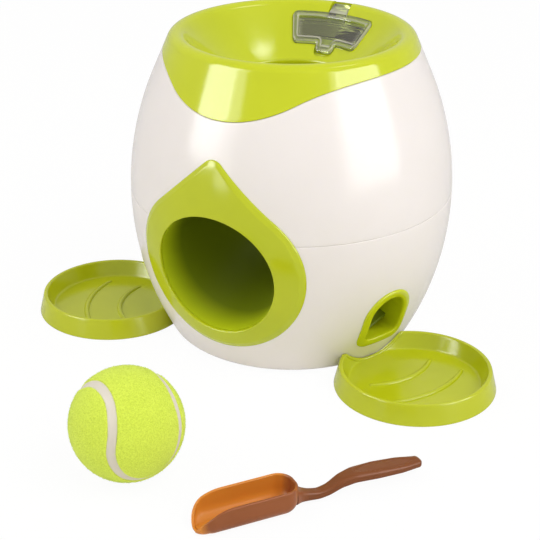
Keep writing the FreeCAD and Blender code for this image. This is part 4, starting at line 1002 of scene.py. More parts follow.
@dataclass
class Funnel:
    """The green funnel: bowl, rounded lip and wavy collar in one moulding."""

    lip_height: float = 197.8
    lip_round: float = 6.5
    throat: float = 36.5
    throat_bottom: float = 150.0
    throat_wall: float = 2.3
    wall: float = 2.5
    skirt: float = 1.8
    skirt_drop: float = 5.0
    steps: int = 480
    hinge_y: float = 70.5
    hinge_height: float = 193.2

    @property
    def lip_middle(self) -> tuple[float, float]:
        """Centre of the lip's round."""
        return float(BARREL.radius(self.lip_height - self.lip_round,
                                   -self.lip_round)), self.lip_height - self.lip_round

    def body(self) -> bpy.types.Object:
        """The turned moulding with its wavy lower edge."""
        angles = np.linspace(0.0, 2 * math.pi, self.steps, endpoint=False)
        waves = WAVE.round(BARREL, angles)
        lip = arc(self.lip_middle, self.lip_round, 90.0 + 44.0, math.degrees(math.asin(BARREL.sine)), 22)
        cone = np.linspace(self.throat + 1.2, CONE.edge[0] - 0.5, 40)
        bowl = np.stack(CONE.point(cone), axis=1)
        throat = CONE.point(np.array(self.throat))
        bend = arc((self.throat + 3.0, float(throat[1]) - 1.1), 3.0, 180.0, 134.0, 5)
        straight = np.stack([np.full(9, self.throat),
                             np.linspace(self.throat_bottom, float(bend[0, 1]) - 0.5, 9)], axis=1)
        outside = self.throat + self.throat_wall
        under = np.array([CONE.point(np.array(CONE.edge[0]), -self.wall),
                          CONE.point(np.array(outside - self.wall * math.sin(CONE.slope)), -self.wall),
                          (outside, self.throat_bottom)])
        upper_inner = (float(BARREL.radius(191.3, -self.wall - self.skirt)), 191.3)
        rings = []
        for angle, low in zip(angles, waves):
            section = rounded_loop([(0.0, 193.0, 0.0), (0.0, low, 0.4), (-self.wall - 0.3, low, 0.0),
                                    (-self.wall - 0.3, low - self.skirt_drop, 0.3),
                                    (-self.wall - self.skirt, low - self.skirt_drop, 0.3),
                                    (-self.wall - self.skirt, 190.0, 0.0)], 4, (22, 0, 2, 0, 4, 0))
            band = np.stack([BARREL.radius(section[:, 1], section[:, 0]), section[:, 1]], axis=1)
            outline = np.concatenate([straight, bend, bowl, lip, band, [upper_inner], under])
            rings.append(np.stack([outline[:, 0] * math.sin(angle), -outline[:, 0] * math.cos(angle),
                                   outline[:, 1]], axis=1))
        return grid_solid("funnel_skin", np.stack(rings))

    def ears(self) -> bpy.types.Object:
        """Solid plastic under the lip, both sides of the hinge."""
        low, high, joint = 185.8, 195.6, WAVE.low + WAVE.depth
        flank = np.concatenate([BARREL.outline(low, joint, -self.wall - 0.3, 2),
                                BARREL.outline(joint, 191.3, -1.4, 2)])
        outline = np.concatenate([[CONE.point(np.array(57.5), -1.0)], flank, [(73.5, high), (69.5, high)],
                                  [CONE.point(np.array(66.0), -1.0)]])
        return spin("ears", outline, 24, 180.0 - 9.4, 180.0 + 9.4)

    def hinge_cutter(self) -> bpy.types.Object:
        """The notch that the hatch's knuckle turns in."""
        y, z = self.hinge_y, self.hinge_height
        low = np.array([CONE.point(np.array(58.0), -1.0)])
        round_part = arc((y, z), 4.4, -90.0, 0.0, 10)
        outline = np.concatenate([low, round_part, [(y + 4.4, 220.0), (48.0, 220.0)]])
        return extruded("hinge_notch", outline, -6.9, 6.9, 0)

    def dress(self, wardrobe: Wardrobe, hatch: "Hatch") -> None:
        """Builds the funnel with its hatch seat and dresses it."""
        funnel = combine(self.body(), [self.ears()], "UNION")
        seat = CONE.block("seat", hatch.outline(-0.45), -1.35, 40.0)
        opening = CONE.block(
            "opening", rounded_loop([(-23.0, 49.5, 2.0), (23.0, 49.5, 2.0), (23.0, 60.0, 2.0),
            (-23.0, 60.0, 2.0)], 6, (8, 2, 8, 2)), -25.0, 5.0)
        finger = CONE.block(
            "finger", rounded_loop([(-8.6, 39.8, 4.2), (8.6, 39.8, 4.2), (8.6, 47.0, 1.0),
            (-8.6, 47.0, 1.0)], 8, 2), -1.9, 40.0)
        combine(funnel, [seat, opening, finger, self.hinge_cutter()])
        wardrobe.dress(funnel, "green_gloss", Body.HOUSING, "funnel_top")


@dataclass
class Hatch:
    """The clear hatch: a plate with a raised border, a finger tab and a hinge knuckle."""

    half_width: float = 26.4
    inner: float = 46.5
    outer: float = 63.0
    tab_half: float = 7.2
    tab_inner: float = 42.0
    border: float = 3.1
    thickness: float = 2.6
    sink: float = 1.0
    dish: float = 1.0
    corner: float = 3.2
    hinge_y: float = 70.5
    hinge_height: float = 193.2

    def outline(self, inset: float) -> Array:
        """The plate's outline in the cone's chart.

        Args:
            inset: Distance inwards from the plate's edge. Negative goes outwards.

        Returns:
            Points in order.
        """
        wide, tab = self.half_width - inset, self.tab_half - inset
        low, high, tip = self.inner + inset, self.outer - inset, self.tab_inner + inset
        soft, hollow = max(self.corner - inset, 0.25), max(1.4 + inset, 0.25)
        point = max(2.4 - inset, 0.15)
        return rounded_loop([(-wide, low, soft), (-tab, low, hollow), (-tab, tip, point), (tab, tip, point),
                             (tab, low, hollow), (wide, low, soft), (wide, high, soft), (-wide, high, soft)],
                            8, (14, 2, 6, 2, 14, 8, 44, 8))

    def plate(self) -> bpy.types.Object:
        """The plate as columns round its outline, from the underside over the border to the window."""
        top = self.thickness - self.sink
        window = top - self.dish
        sections = [(0.5, -self.sink), (0.0, -self.sink + 0.4), (0.0, top - 0.5), (0.12, top - 0.2),
                    (0.4, top - 0.04),
                    (0.8, top), (self.border - 0.9, top), (self.border - 0.45, top - 0.1),
                    (self.border - 0.15, top - 0.35),
                    (self.border, window + 0.3), (self.border + 0.12, window + 0.08),
                    (self.border + 0.4, window)]
        middle = np.array((0.0, (self.inner + self.outer) / 2))
        columns: list[Array] = []
        for scale in (0.0, 0.3, 0.6, 0.85):
            ring = middle + (self.outline(0.5) - middle) * scale
            columns.append(CONE.place(ring[:, 0], ring[:, 1], np.full(len(ring), -self.sink)))
        for inset, rise in sections:
            ring = self.outline(inset)
            columns.append(CONE.place(ring[:, 0], ring[:, 1], np.full(len(ring), rise)))
        for scale in (0.85, 0.6, 0.3, 0.0):
            ring = middle + (self.outline(self.border + 0.4) - middle) * scale
            columns.append(CONE.place(ring[:, 0], ring[:, 1], np.full(len(ring), window)))
        return grid_solid("hatch_skin", np.stack(columns, axis=1))

    def knuckle(self) -> bpy.types.Object:
        """The hinge block round the pin and the arm that carries it."""
        y, z, radius = self.hinge_y, self.hinge_height, 3.4
        low = np.array([CONE.point(np.array(60.9), -0.8)])
        high = np.array([CONE.point(np.array(60.9), 1.2)])
        outline = np.concatenate([low, arc((y, z), radius, -100.0, 110.0, 26), high])
        levels = [(-6.4, 0.7), (-6.2, 0.25), (-5.8, 0.0), (5.8, 0.0), (6.2, 0.25), (6.4, 0.7)]
        rings = []
        middle = outline.mean(axis=0)
        for x, shrink in levels:
            reach = np.linalg.norm(outline - middle, axis=1, keepdims=True)
            moved = middle + (outline - middle) * (1 - shrink / reach)
            rings.append(np.stack([np.full(len(moved), x), moved[:, 0], moved[:, 1]], axis=1))
        return grid_solid("knuckle", np.stack(rings), wrap=False)

    def plug(self) -> bpy.types.Object:
        """The ring under the plate that centres it in its opening."""
        def loop(inset: float) -> Array:
            return rounded_loop([(-22.3 + inset, 50.2 + inset, 1.6), (22.3 - inset, 50.2 + inset, 1.6),
                                 (22.3 - inset, 59.3 - inset, 1.6), (-22.3 + inset, 59.3 - inset, 1.6)], 5,
                                 (10, 3, 10, 3))
        columns = []
        for inset, rise in ((0.0, -0.8), (0.0, -2.4), (0.2, -2.6), (1.2, -2.6), (1.4, -2.4), (1.4, -0.8)):
            ring = loop(inset)
            columns.append(CONE.place(ring[:, 0], ring[:, 1], np.full(len(ring), rise)))
        return grid_solid("plug", np.stack(columns, axis=1))

    def mark_painted_rim_highlights(self, hatch: bpy.types.Object, width: float = 0.5) -> None:
        """Marks the two edges that get painted highlight lines: the plate's outline and the step to its window."""
        data = hatch.data
        points = np.empty(len(data.vertices) * 3)
        data.vertices.foreach_get("co", points)
        points = points.reshape(-1, 3) / MM
        chart = np.stack([np.arctan2(points[:, 0], points[:, 1]) * CONE.chart_radius,
                          np.hypot(points[:, 0], points[:, 1])], axis=1)
        nearest = np.full(len(chart), 9.0)
        for inset in (0.15, self.border - 0.15):
            loop = self.outline(inset)
            ahead = np.roll(loop, -1, axis=0)
            dense = np.concatenate([loop * (1 - share) + ahead * share
                                    for share in np.linspace(0.0, 1.0, 12, endpoint=False)])
            for start in range(0, len(chart), 2000):
                part = chart[start:start + 2000]
                gaps = np.linalg.norm(part[:, None, :] - dense[None, :, :], axis=2).min(axis=1)
                nearest[start:start + 2000] = np.minimum(nearest[start:start + 2000], gaps)
        # Painted highlight: this attribute lightens the ridges in the hatch's finish
        rim = data.attributes.new("rim", "FLOAT", "POINT")
        rim.data.foreach_set("value", np.clip(1.4 - nearest / width, 0.0, 1.0).astype(np.float32))

    def dress(self, wardrobe: Wardrobe) -> None:
        """Builds the hatch and dresses it."""
        hatch = combine(self.plate(), [self.knuckle(), self.plug()], "UNION")
        pin_hole = rod("pin_hole", (-9.0, self.hinge_y, self.hinge_height),
                       (9.0, self.hinge_y, self.hinge_height), 1.31, 48)
        combine(hatch, [pin_hole])
        self.mark_painted_rim_highlights(hatch)
        wardrobe.dress(hatch, "clear_gloss", Body.HATCH, "hatch_door")


# Chute and exit frame

@dataclass
class Chute:
    """The tube that the ball runs through, with the slot for the paddle wheel."""

    steps: int = 200
    paddle_reach: float = 35.3
    slot_half: float = 12.5
    axle: tuple[float, float] = (54.0, 97.0)

    def tube(self, radius: float) -> Array:
        """Rings of one surface, from the top to the housing's front.

        Args:
            radius: The surface's radius.

        Returns:
            Points shaped (rings, points, 3).
        """
        angles = np.linspace(0.0, 2 * math.pi, self.steps, endpoint=False)
        side = np.array((1.0, 0.0, 0.0))
        rings = []
        for middle, sweep in TUNNEL.centres():
            outward = np.array((0.0, math.cos(sweep), -math.sin(sweep)))
            rings.append(middle + radius
                         * (np.cos(angles)[:, None] * outward + np.sin(angles)[:, None] * side))
        last = rings[-1]
        ends = last + TUNNEL.ahead * 40.0
        for _ in range(30):
            reach = BARREL.radius(ends[:, 2], -0.05)
            depth = -np.sqrt(np.maximum(reach ** 2 - ends[:, 0] ** 2, 0.0))
            ends = ends + TUNNEL.ahead * ((depth - ends[:, 1]) / TUNNEL.ahead[1])[:, None]
        for share in np.linspace(0.0, 1.0, 15)[1:]:
            rings.append(last * (1 - share) + ends * share)
        return np.stack(rings)

    def dress(self, wardrobe: Wardrobe) -> None:
        """Builds the chute and dresses it."""
        inner, outer = self.tube(TUNNEL.radius), self.tube(TUNNEL.radius + TUNNEL.wall)
        rings = np.concatenate([inner, outer[::-1]])
        chute = grid_solid("chute_skin", rings)
        slot = rod("slot", (-self.slot_half, *self.axle), (self.slot_half, *self.axle), self.paddle_reach,
                   160)
        wardrobe.dress(combine(chute, [slot]), "chute_green", Body.HOUSING, "ball_chute")


@dataclass
class ExitFrame:
    """The teardrop frame round the ball's exit, with a soft bevel round its outside."""

    hole: float = 39.5
    radius: float = 56.0
    height: float = 75.0
    tip_height: float = 144.5
    tip_round: float = 8.0
    hip: float = 48.5
    flank: float = 3000.0
    proud: float = 2.0
    seat: float = 0.1
    bevel: float = 3.0
    steps: int = 480

    def teardrop(self) -> Array:
        """The outline's points in the front view."""
        tip = np.array((0.0, self.tip_height - self.tip_round))
        hip = np.array((self.radius - self.hip, self.height))
        near, far = self.hip + self.flank, self.tip_round + self.flank
        between = tip - hip
        length = np.linalg.norm(between)
        along = (near ** 2 - far ** 2 + length ** 2) / (2 * length)
        away = math.sqrt(near ** 2 - along ** 2)
        unit = between / length
        flank = hip + unit * along + np.array((unit[1], -unit[0])) * away
        low = math.degrees(math.atan2(*(flank - hip)[::-1]))
        high = math.degrees(math.atan2(*(flank - tip)[::-1]))
        right = np.concatenate([
            arc((0.0, self.height), self.radius, -90.0, 0.0, 60), arc(tuple(hip), self.hip, 0.0, low, 60)[1:],
            arc(tuple(flank), self.flank, 180.0 + low, 180.0 + high, 60)[1:],
            arc(tuple(tip), self.tip_round, high, 90.0, 30)[1:]])
        left = right[::-1] * np.array((-1.0, 1.0))
        return np.concatenate([right, left[1:-1]])

    def outer(self, angles: Array, middle: float) -> Array:
        """Outer points at angles round a point on the middle line."""
        outline = self.teardrop() - np.array((0.0, middle))
        turns = np.arctan2(outline[:, 0], -outline[:, 1])
        order = np.argsort(turns)
        turns, reach = turns[order], np.linalg.norm(outline, axis=1)[order]
        reach = np.interp(angles, np.concatenate([turns - 2 * math.pi, turns, turns + 2 * math.pi]),
                          np.tile(reach, 3))
        return np.stack([reach * np.sin(angles), middle - reach * np.cos(angles)], axis=1)

    def build(self) -> bpy.types.Object:
        """The frame as rounded columns round the hole."""
        angles = np.linspace(-math.pi, math.pi, self.steps, endpoint=False)
        middle = float(TUNNEL.middle_height(np.array(-100.0)))
        rim = self.outer(angles, middle)
        rings = []
        for angle, far in zip(angles, rim):
            def inside(depth: Array) -> Array:
                level = TUNNEL.middle_height(depth)
                return np.stack([np.full(len(depth), self.hole * math.sin(angle)),
                                 level - self.hole / math.cos(TUNNEL.slope) * math.cos(angle)], axis=1)
            near = inside(np.array([-98.0]))[0]
            width = float(np.linalg.norm(far - near))
            section = rounded_loop([(0.0, self.seat, 0.0), (0.0, self.proud, 0.8),
                                    (width - self.bevel, self.proud, 2.2),
                                    (width - 0.25, self.proud - 1.15, 0.5), (width, self.seat, 0.0)], 6,
                                    (2, 16, 3, 1, 12))
            share = (section[:, 0] / width)[:, None]
            flat = near * (1 - share) + far * share
            for _ in range(6):
                depth = -np.sqrt(
                    np.maximum(BARREL.radius(flat[:, 1], section[:, 1]) ** 2 - flat[:, 0] ** 2, 0.0))
                flat = inside(depth) * (1 - share) + far * share
            rings.append(np.stack([flat[:, 0], depth, flat[:, 1]], axis=1))
        return grid_solid("exit_frame_skin", np.stack(rings))

    def dress(self, wardrobe: Wardrobe) -> None:
        """Builds the frame and dresses it."""
        wardrobe.dress(self.build(), "green_frame", Body.HOUSING, "exit_frame")


# Spouts and trays

SIDE_ANGLE = math.radians(67.5)
SIDE_AHEAD = np.array((math.sin(SIDE_ANGLE), -math.cos(SIDE_ANGLE)))
SIDE_ACROSS = np.array((math.cos(SIDE_ANGLE), math.sin(SIDE_ANGLE)))


@dataclass
class Spouts:
    """The two treat spouts: a bulging bezel on the housing and a duct behind it."""

    outer_half: float = 18.4
    bottom: float = 15.4
    outer_corner: float = 8.0
    arch: float = 38.0
    inner_half: float = 13.0
    sill: float = 21.3
    inner_corner: float = 4.0
    proud: float = 1.5
    seat: float = 0.1
    duct_wall: float = 1.8
    duct_depth: float = 70.0

    def arch_loop(self, half: float, bottom: float, corner: float) -> Array:
        """An arch with round lower corners, in the spout's front view."""
        top = self.arch + half
        return rounded_loop([(-half, bottom, corner), (half, bottom, corner), (half, top, half * 0.998),
                             (-half, top, half * 0.998)], 26, (18, 14, 0, 14))

    def duct_cutter(self, side: int) -> bpy.types.Object:
        """The duct's outside with a gap round it, as a prism."""
        grow = self.duct_wall + 0.4
        loop = self.arch_loop(self.inner_half + grow, self.sill - grow, self.inner_corner + self.duct_wall)
        rings = []
        for depth in (self.duct_depth - 1.0, 120.0):
            flat = SIDE_AHEAD * depth + SIDE_ACROSS * loop[:, :1]
            rings.append(np.stack([flat[:, 0] * side, flat[:, 1], loop[:, 1]], axis=1))
        return grid_solid("duct", np.stack(rings), wrap=False)

    def right(self) -> bpy.types.Object:
        """The right-hand spout as columns round its opening."""
        inner = self.arch_loop(self.inner_half, self.sill, self.inner_corner)
        outer = self.arch_loop(self.outer_half, self.bottom, self.outer_corner)
        bulge = np.linspace(0.0, 1.0, 19)
        lift = self.seat + (self.proud - self.seat) * np.sqrt(1 - np.abs(2 * bulge - 1) ** 2.6)
        rings = []
        for near, far in zip(inner, outer):
            width = float(np.linalg.norm(far - near))
            reach = np.concatenate([bulge * width, [self.duct_wall] * 5, [0.0] * 9])
            rise = np.concatenate([lift, np.full(14, self.seat)])
            back = np.concatenate([np.zeros(19), np.linspace(0.0, 1.0, 5), np.linspace(1.0, 0.06, 9)])
            flat = near + (far - near) * (reach / width)[:, None]
            front = np.sqrt(BARREL.radius(flat[:, 1], rise) ** 2 - flat[:, 0] ** 2)
            depth = front * (1 - back) + np.sqrt(self.duct_depth ** 2 - flat[:, 0] ** 2) * back
            plan = SIDE_AHEAD * depth[:, None] + SIDE_ACROSS * flat[:, :1]
            rings.append(np.stack([plan[:, 0], plan[:, 1], flat[:, 1]], axis=1))
        return grid_solid("spout_right_skin", np.stack(rings))

    def dress(self, wardrobe: Wardrobe) -> None:
        """Builds both spouts and dresses them."""
        right = self.right()
        left = mirrored(right, "spout_left_skin")
        wardrobe.dress(right, "green_gloss", Body.HOUSING, "spout_right")
        wardrobe.dress(left, "green_gloss", Body.HOUSING, "spout_left")


def rib_recipe() -> Recipe:
    """A low round rib on an arc whose ends fade into the floor."""
    recipe = Recipe("tray_rib")
    for name in ("Bend", "Span", "Radius"):
        recipe.take(name)
    given = recipe.start().outputs
    turn = recipe.add("ShaderNodeMath", {0: given["Span"], 1: -0.5}, operation="MULTIPLY").outputs[0]
    line = recipe.add(
        "GeometryNodeCurveArc",
        {"Resolution": 96, "Radius": given["Bend"], "Start Angle": turn,
        "Sweep Angle": given["Span"]}).outputs["Curve"]
    along = recipe.add("GeometryNodeSplineParameter").outputs["Factor"]
    wave = recipe.add("ShaderNodeMath", {0: along, 1: math.pi}, operation="MULTIPLY").outputs[0]
    high = recipe.add("ShaderNodeMath", {0: wave}, operation="SINE").outputs[0]
    full = recipe.add("ShaderNodeMath", {0: high, 1: 0.14}, operation="POWER", use_clamp=True).outputs[0]
    shaped = recipe.add("GeometryNodeSetCurveRadius", {"Curve": line, "Radius": full}).outputs["Curve"]
    section = recipe.add("GeometryNodeCurvePrimitiveCircle",
                         {"Resolution": 20, "Radius": given["Radius"]}).outputs["Curve"]
    rib = recipe.add("GeometryNodeCurveToMesh",
                     {"Curve": shaped, "Profile Curve": section, "Fill Caps": True})
    if "Scale" in rib.inputs:
        recipe.tree.links.new(full, rib.inputs["Scale"])
    smooth = recipe.add("GeometryNodeSetShadeSmooth", {"Geometry": rib.outputs["Mesh"]}).outputs["Geometry"]
    recipe.end(smooth, given["Material"])
    return recipe


@dataclass
class Trays:
    """The two round trays that catch the treats."""

    distance: float = 120.7
    foot: float = 50.0
    rim: float = 46.9
    height: float = 13.1
    floor: float = 3.0
    gap: float = 0.5
    lip: float = 1.0
    ribs: tuple[tuple[float, float, float], ...] = ((64.0, 17.5, 60.0), (43.0, -4.6, 74.0))

    def dish_outline(self) -> Array:
        """The turned section of a tray."""
        corners = [(0.0, 1.0, 0.0), (41.3, 1.0, 1.0), (45.4, 8.7, 0.7), (48.0, 0.0, 0.3),
                   (self.foot, 0.0, 0.5),
                   (self.rim - 0.12, self.height, 1.05), (self.rim - 2.35, self.height, 1.05),
                   (40.6, self.floor, 1.7), (0.0, self.floor, 0.0)]
        return rounded_loop(corners, 7, (8, 3, 3, 1, 8, 0, 8, 14, 0))

    def surface(self, reach: Array) -> Array:
        """Height of the tray's inside at a distance from its centre."""
        return np.interp(
            reach, [0.0, 40.2, 41.2, self.rim - 2.4, self.rim - 1.2],
            [self.floor, self.floor, self.floor + 0.8, self.height - 1.2, self.height - 0.2])

    def bite_edge(self) -> bpy.types.Object:
        """A round bead where the dish ends next to the housing, from rim to floor to rim."""
        middle = SIDE_AHEAD * self.distance
        away = self.gap + self.lip
        spread = np.linspace(-0.7, 0.7, 281)
        line = []
        for turn in spread:
            angle = SIDE_ANGLE + turn
            height = self.floor
            for _ in range(30):
                reach = float(BARREL.radius(height, away))
                spot = np.array((reach * math.sin(angle), -reach * math.cos(angle)))
                height = 0.6 * height + 0.4 * float(self.surface(np.array(np.linalg.norm(spot - middle))))
            if np.linalg.norm(spot - middle) < self.rim - 1.0:
                line.append((spot[0], spot[1], height - 0.25))
        points = np.array(line)
        tangents = np.gradient(points, axis=0)
        tangents /= np.linalg.norm(tangents, axis=1, keepdims=True)
        outward = np.stack([points[:, 0], points[:, 1], np.zeros(len(points))], axis=1)
        outward -= tangents * np.sum(outward * tangents, axis=1, keepdims=True)
        outward /= np.linalg.norm(outward, axis=1, keepdims=True)
        upward = np.cross(tangents, outward)
        turns = np.linspace(0.0, 2 * math.pi, 16, endpoint=False)
        rings = points[:, None, :] + self.lip * (
            np.cos(turns)[None, :, None] * outward[:, None, :] + np.sin(turns)[None, :, None] * upward[:,
            None, :])
        return grid_solid("bite_edge", rings, wrap=False)

    def right(self, wardrobe: Wardrobe) -> bpy.types.Object:
        """The right-hand tray with its ribs."""
        middle = SIDE_AHEAD * self.distance
        tray = spin("tray_right_skin", self.dish_outline(), 360, centre=(float(middle[0]), float(middle[1])))
        combine(tray, [BARREL.solid("housing", self.gap, -3.0, 40.0)])
        recipe = rib_recipe()
        ribs = []
        for bend, place, span in self.ribs:
            rib = points_object("rib", [(0.0, 0.0, 0.0)])
            recipe.grow(rib, {"Bend": bend * MM, "Span": math.radians(span), "Radius": 1.8 * MM,
                              "Material": wardrobe.material("tray_green")})
            turn = Matrix.Rotation(SIDE_ANGLE - math.pi / 2, 4, "Z")
            shift = Matrix.Translation(Vector((middle[0] * MM, middle[1] * MM, (self.floor - 0.3) * MM)))
            rib.data.transform(shift @ turn @ Matrix.Translation(Vector(((place - bend) * MM, 0.0, 0.0))))
            ribs.append(rib)
        return join(tray, ribs + [self.bite_edge()])

    def dress(self, wardrobe: Wardrobe) -> None:
        """Builds both trays and dresses them."""
        right = self.right(wardrobe)
        left = mirrored(right, "tray_left_skin")
        wardrobe.dress(right, "tray_green", Body.RIGHT_TRAY, "tray_right")
        wardrobe.dress(left, "tray_green", Body.LEFT_TRAY, "tray_left")


# Tennis ball

def fibre_recipe() -> Recipe:
    """Short bent fibres that lie over the felt and fray its outline."""
    recipe = Recipe("felt_fibres")
    for name in ("Density", "Length", "Thickness"):
        recipe.take(name)
    recipe.take("Seed", "NodeSocketInt")
    given = recipe.start().outputs
    chosen = recipe.add("GeometryNodeInputNamedAttribute", {"Name": "felt"},
                        data_type="FLOAT").outputs["Attribute"]
    spread = recipe.add("ShaderNodeMath", {0: given["Density"], 1: chosen}, operation="MULTIPLY").outputs[0]
    spots = recipe.add(
        "GeometryNodeDistributePointsOnFaces",
        {"Mesh": given["Geometry"], "Density": spread, "Seed": given["Seed"]})
    line = recipe.add("GeometryNodeCurvePrimitiveBezierSegment", {
        "Resolution": 4, "Start": (0.0, 0.0, 0.0), "Start Handle": (0.0, 0.0, 0.35),
        "End Handle": (0.25, 0.0, 0.75),
        "End": (0.75, 0.0, 0.8)}).outputs["Curve"]
    sized = recipe.add("GeometryNodeTransform", {"Geometry": line}).outputs["Geometry"]
    size = recipe.add("ShaderNodeCombineXYZ",
                      {"X": given["Length"], "Y": given["Length"], "Z": given["Length"]})
    recipe.tree.links.new(size.outputs[0], sized.node.inputs["Scale"])
    section = recipe.add("GeometryNodeCurvePrimitiveCircle", {"Resolution": 3, "Radius": given["Thickness"]})
    fibre = recipe.add(
        "GeometryNodeCurveToMesh",
        {"Curve": sized, "Profile Curve": section.outputs["Curve"], "Fill Caps": False}).outputs["Mesh"]
    tilt = recipe.add("FunctionNodeRandomValue",
                      {0: (0.35, -0.9, 0.0), 1: (1.25, 0.9, 6.283), "Seed": given["Seed"]},
                      data_type="FLOAT_VECTOR").outputs[0]
    turned = recipe.add("FunctionNodeRotateRotation", {"Rotation": spots.outputs["Rotation"]},
                        rotation_space="LOCAL")
    spin_node = recipe.add("FunctionNodeEulerToRotation", {"Euler": tilt})
    recipe.tree.links.new(spin_node.outputs[0], turned.inputs[1])
    scale = recipe.add("FunctionNodeRandomValue", {2: 0.55, 3: 1.25, "Seed": given["Seed"]},
                       data_type="FLOAT").outputs[1]
    placed = recipe.add(
        "GeometryNodeInstanceOnPoints",
        {"Points": spots.outputs["Points"], "Instance": fibre, "Rotation": turned.outputs[0],
        "Scale": scale})
    recipe.end(placed.outputs["Instances"], given["Material"])
    return recipe


@dataclass
class Ball:
    """The tennis ball: felt with a sunk cement seam and loose fibres."""

    radius: float = 32.5
    middle: tuple[float, float, float] = (12.6, -213.4, 32.5)
    seam_half: float = 2.6
    seam_depth: float = 0.75
    marks: tuple[tuple[float, float], ...] = (
        # where the seam runs, as degrees round from the front and up
        (-74, -7), (-80, 10), (-81, 26), (-76, 38), (-67, 47), (-55, 58), (-19, 62), (5, 55), (15, 45),
        (19, 32),
        (20, 20), (19, 9), (18, -3), (21, -17), (27, -30), (38, -40), (54, -46), (72, -44), (86, -34),
        (95, -18),
        (98, -5), (102, 5), (105, 16), (110, 28), (120, 39), (136, 48), (159, 49), (179, 42), (192, 30),
        (197, 16),
        (197, 1), (194, -17), (190, -34), (190, -50), (199, -64), (234, -73), (279, -67), (295, -54),
        (297, -39),
        (293, -24))

    def seam_line(self, count: int) -> Array:
        """Points of the seam on the unit ball, on a closed smooth line through its marks."""
        angles = np.radians(np.array(self.marks, float))
        knots = np.stack([np.sin(angles[:, 0]) * np.cos(angles[:, 1]),
                          -np.cos(angles[:, 0]) * np.cos(angles[:, 1]),
                          np.sin(angles[:, 1])], axis=1)
        for _ in range(5):
            middle = (9 * (knots + np.roll(knots, -1, axis=0)) - np.roll(knots, 1, axis=0)
                      - np.roll(knots, -2, axis=0)) / 16
            knots = np.stack([knots, middle], axis=1).reshape(-1, 3)
            knots = 0.5 * knots + 0.25 * (np.roll(knots, 1, axis=0) + np.roll(knots, -1, axis=0))
        knots /= np.linalg.norm(knots, axis=1, keepdims=True)
        steps = np.linalg.norm(np.roll(knots, -1, axis=0) - knots, axis=1)
        reach = np.concatenate([[0.0], np.cumsum(steps)])
        closed = np.concatenate([knots, knots[:1]])
        even = np.linspace(0.0, reach[-1], count, endpoint=False)
        line = np.stack([np.interp(even, reach, closed[:, axis]) for axis in range(3)], axis=1)
        return line / np.linalg.norm(line, axis=1, keepdims=True)

    def felt(self) -> bpy.types.Object:
        """The felt, pressed in along the seam, with a mask for its fibres."""
        mesh = bmesh.new()
        bmesh.ops.create_icosphere(mesh, subdivisions=7, radius=1.0)
        item = finish_mesh("felt_skin", mesh)
        data = item.data
        points = np.empty(len(data.vertices) * 3)
        data.vertices.foreach_get("co", points)
        points = points.reshape(-1, 3)
        points /= np.linalg.norm(points, axis=1, keepdims=True)
        line = self.seam_line(1440)
        nearest = np.concatenate([np.max(part @ line.T, axis=1) for part in np.array_split(points, 24)])
        away = np.arccos(np.clip(nearest, -1.0, 1.0)) * self.radius
        edge = np.clip((away - self.seam_half + 0.2) / 0.75, 0.0, 1.0)
        edge = edge * edge * (3 - 2 * edge)
        puff = np.exp(-((away - self.seam_half - 1.6) / 1.5) ** 2) * 0.12
        reach = self.radius - 0.62 - (1 - edge) * (self.seam_depth + 0.5) + puff
        data.vertices.foreach_set("co", ((points * reach[:, None] + np.array(self.middle)) * MM).ravel())
        mask = data.attributes.new("felt", "FLOAT", "POINT")
        mask.data.foreach_set(
            "value", np.clip((away - self.seam_half - 0.1) / 0.5, 0.0, 1.0).astype(np.float32))
        data.update()
        return item

    def seam(self) -> bpy.types.Object:
        """The cement seam as a flat closed band in its groove."""
        count = 720
        line = self.seam_line(count)
        along = np.roll(line, -1, axis=0) - np.roll(line, 1, axis=0)
        along /= np.linalg.norm(along, axis=1, keepdims=True)
        across = np.cross(line, along)
        wobble = 1.0 + 0.04 * np.sin(np.arange(count) * 0.13) + 0.03 * np.sin(np.arange(count) * 0.41 + 1.0)
        section = rounded_loop([(-1.0, -1.3, 0.0), (1.0, -1.3, 0.0), (1.0, 0.0, 0.25), (-1.0, 0.0, 0.25)],
                               4, (2, 0, 8, 0))
        level = self.radius - 0.62 - self.seam_depth + 0.35
        wide = section[:, 0][None, :] * (self.seam_half + 0.2) * wobble[:, None]
        crown = -0.18 * (section[:, 0] ** 2)
        reach = level + section[:, 1] + crown
        sideways = wide / self.radius
        rings = (line[:, None, :] * np.cos(sideways)[:, :, None] + across[:, None, :]
                 * np.sin(sideways)[:, :, None])
        return grid_solid("seam_skin", rings * reach[None, :, None] + np.array(self.middle))

    def dress(self, wardrobe: Wardrobe) -> None:
        """Builds felt, seam and fibres and dresses them."""
        felt = self.felt()
        wardrobe.dress(felt, "felt", Body.BALL, "ball_felt")
        wardrobe.dress(self.seam(), "ball_rubber", Body.BALL)
        fibres = add_object("fibres_skin", felt.data.copy())
        fibre_recipe().grow(fibres, {"Density": 2.3e6, "Length": 0.52 * MM, "Thickness": 0.045 * MM,
                                     "Seed": 7,
                                     "Material": wardrobe.material("felt")})
        wardrobe.dress(fibres, "felt", Body.BALL)


# Scoop

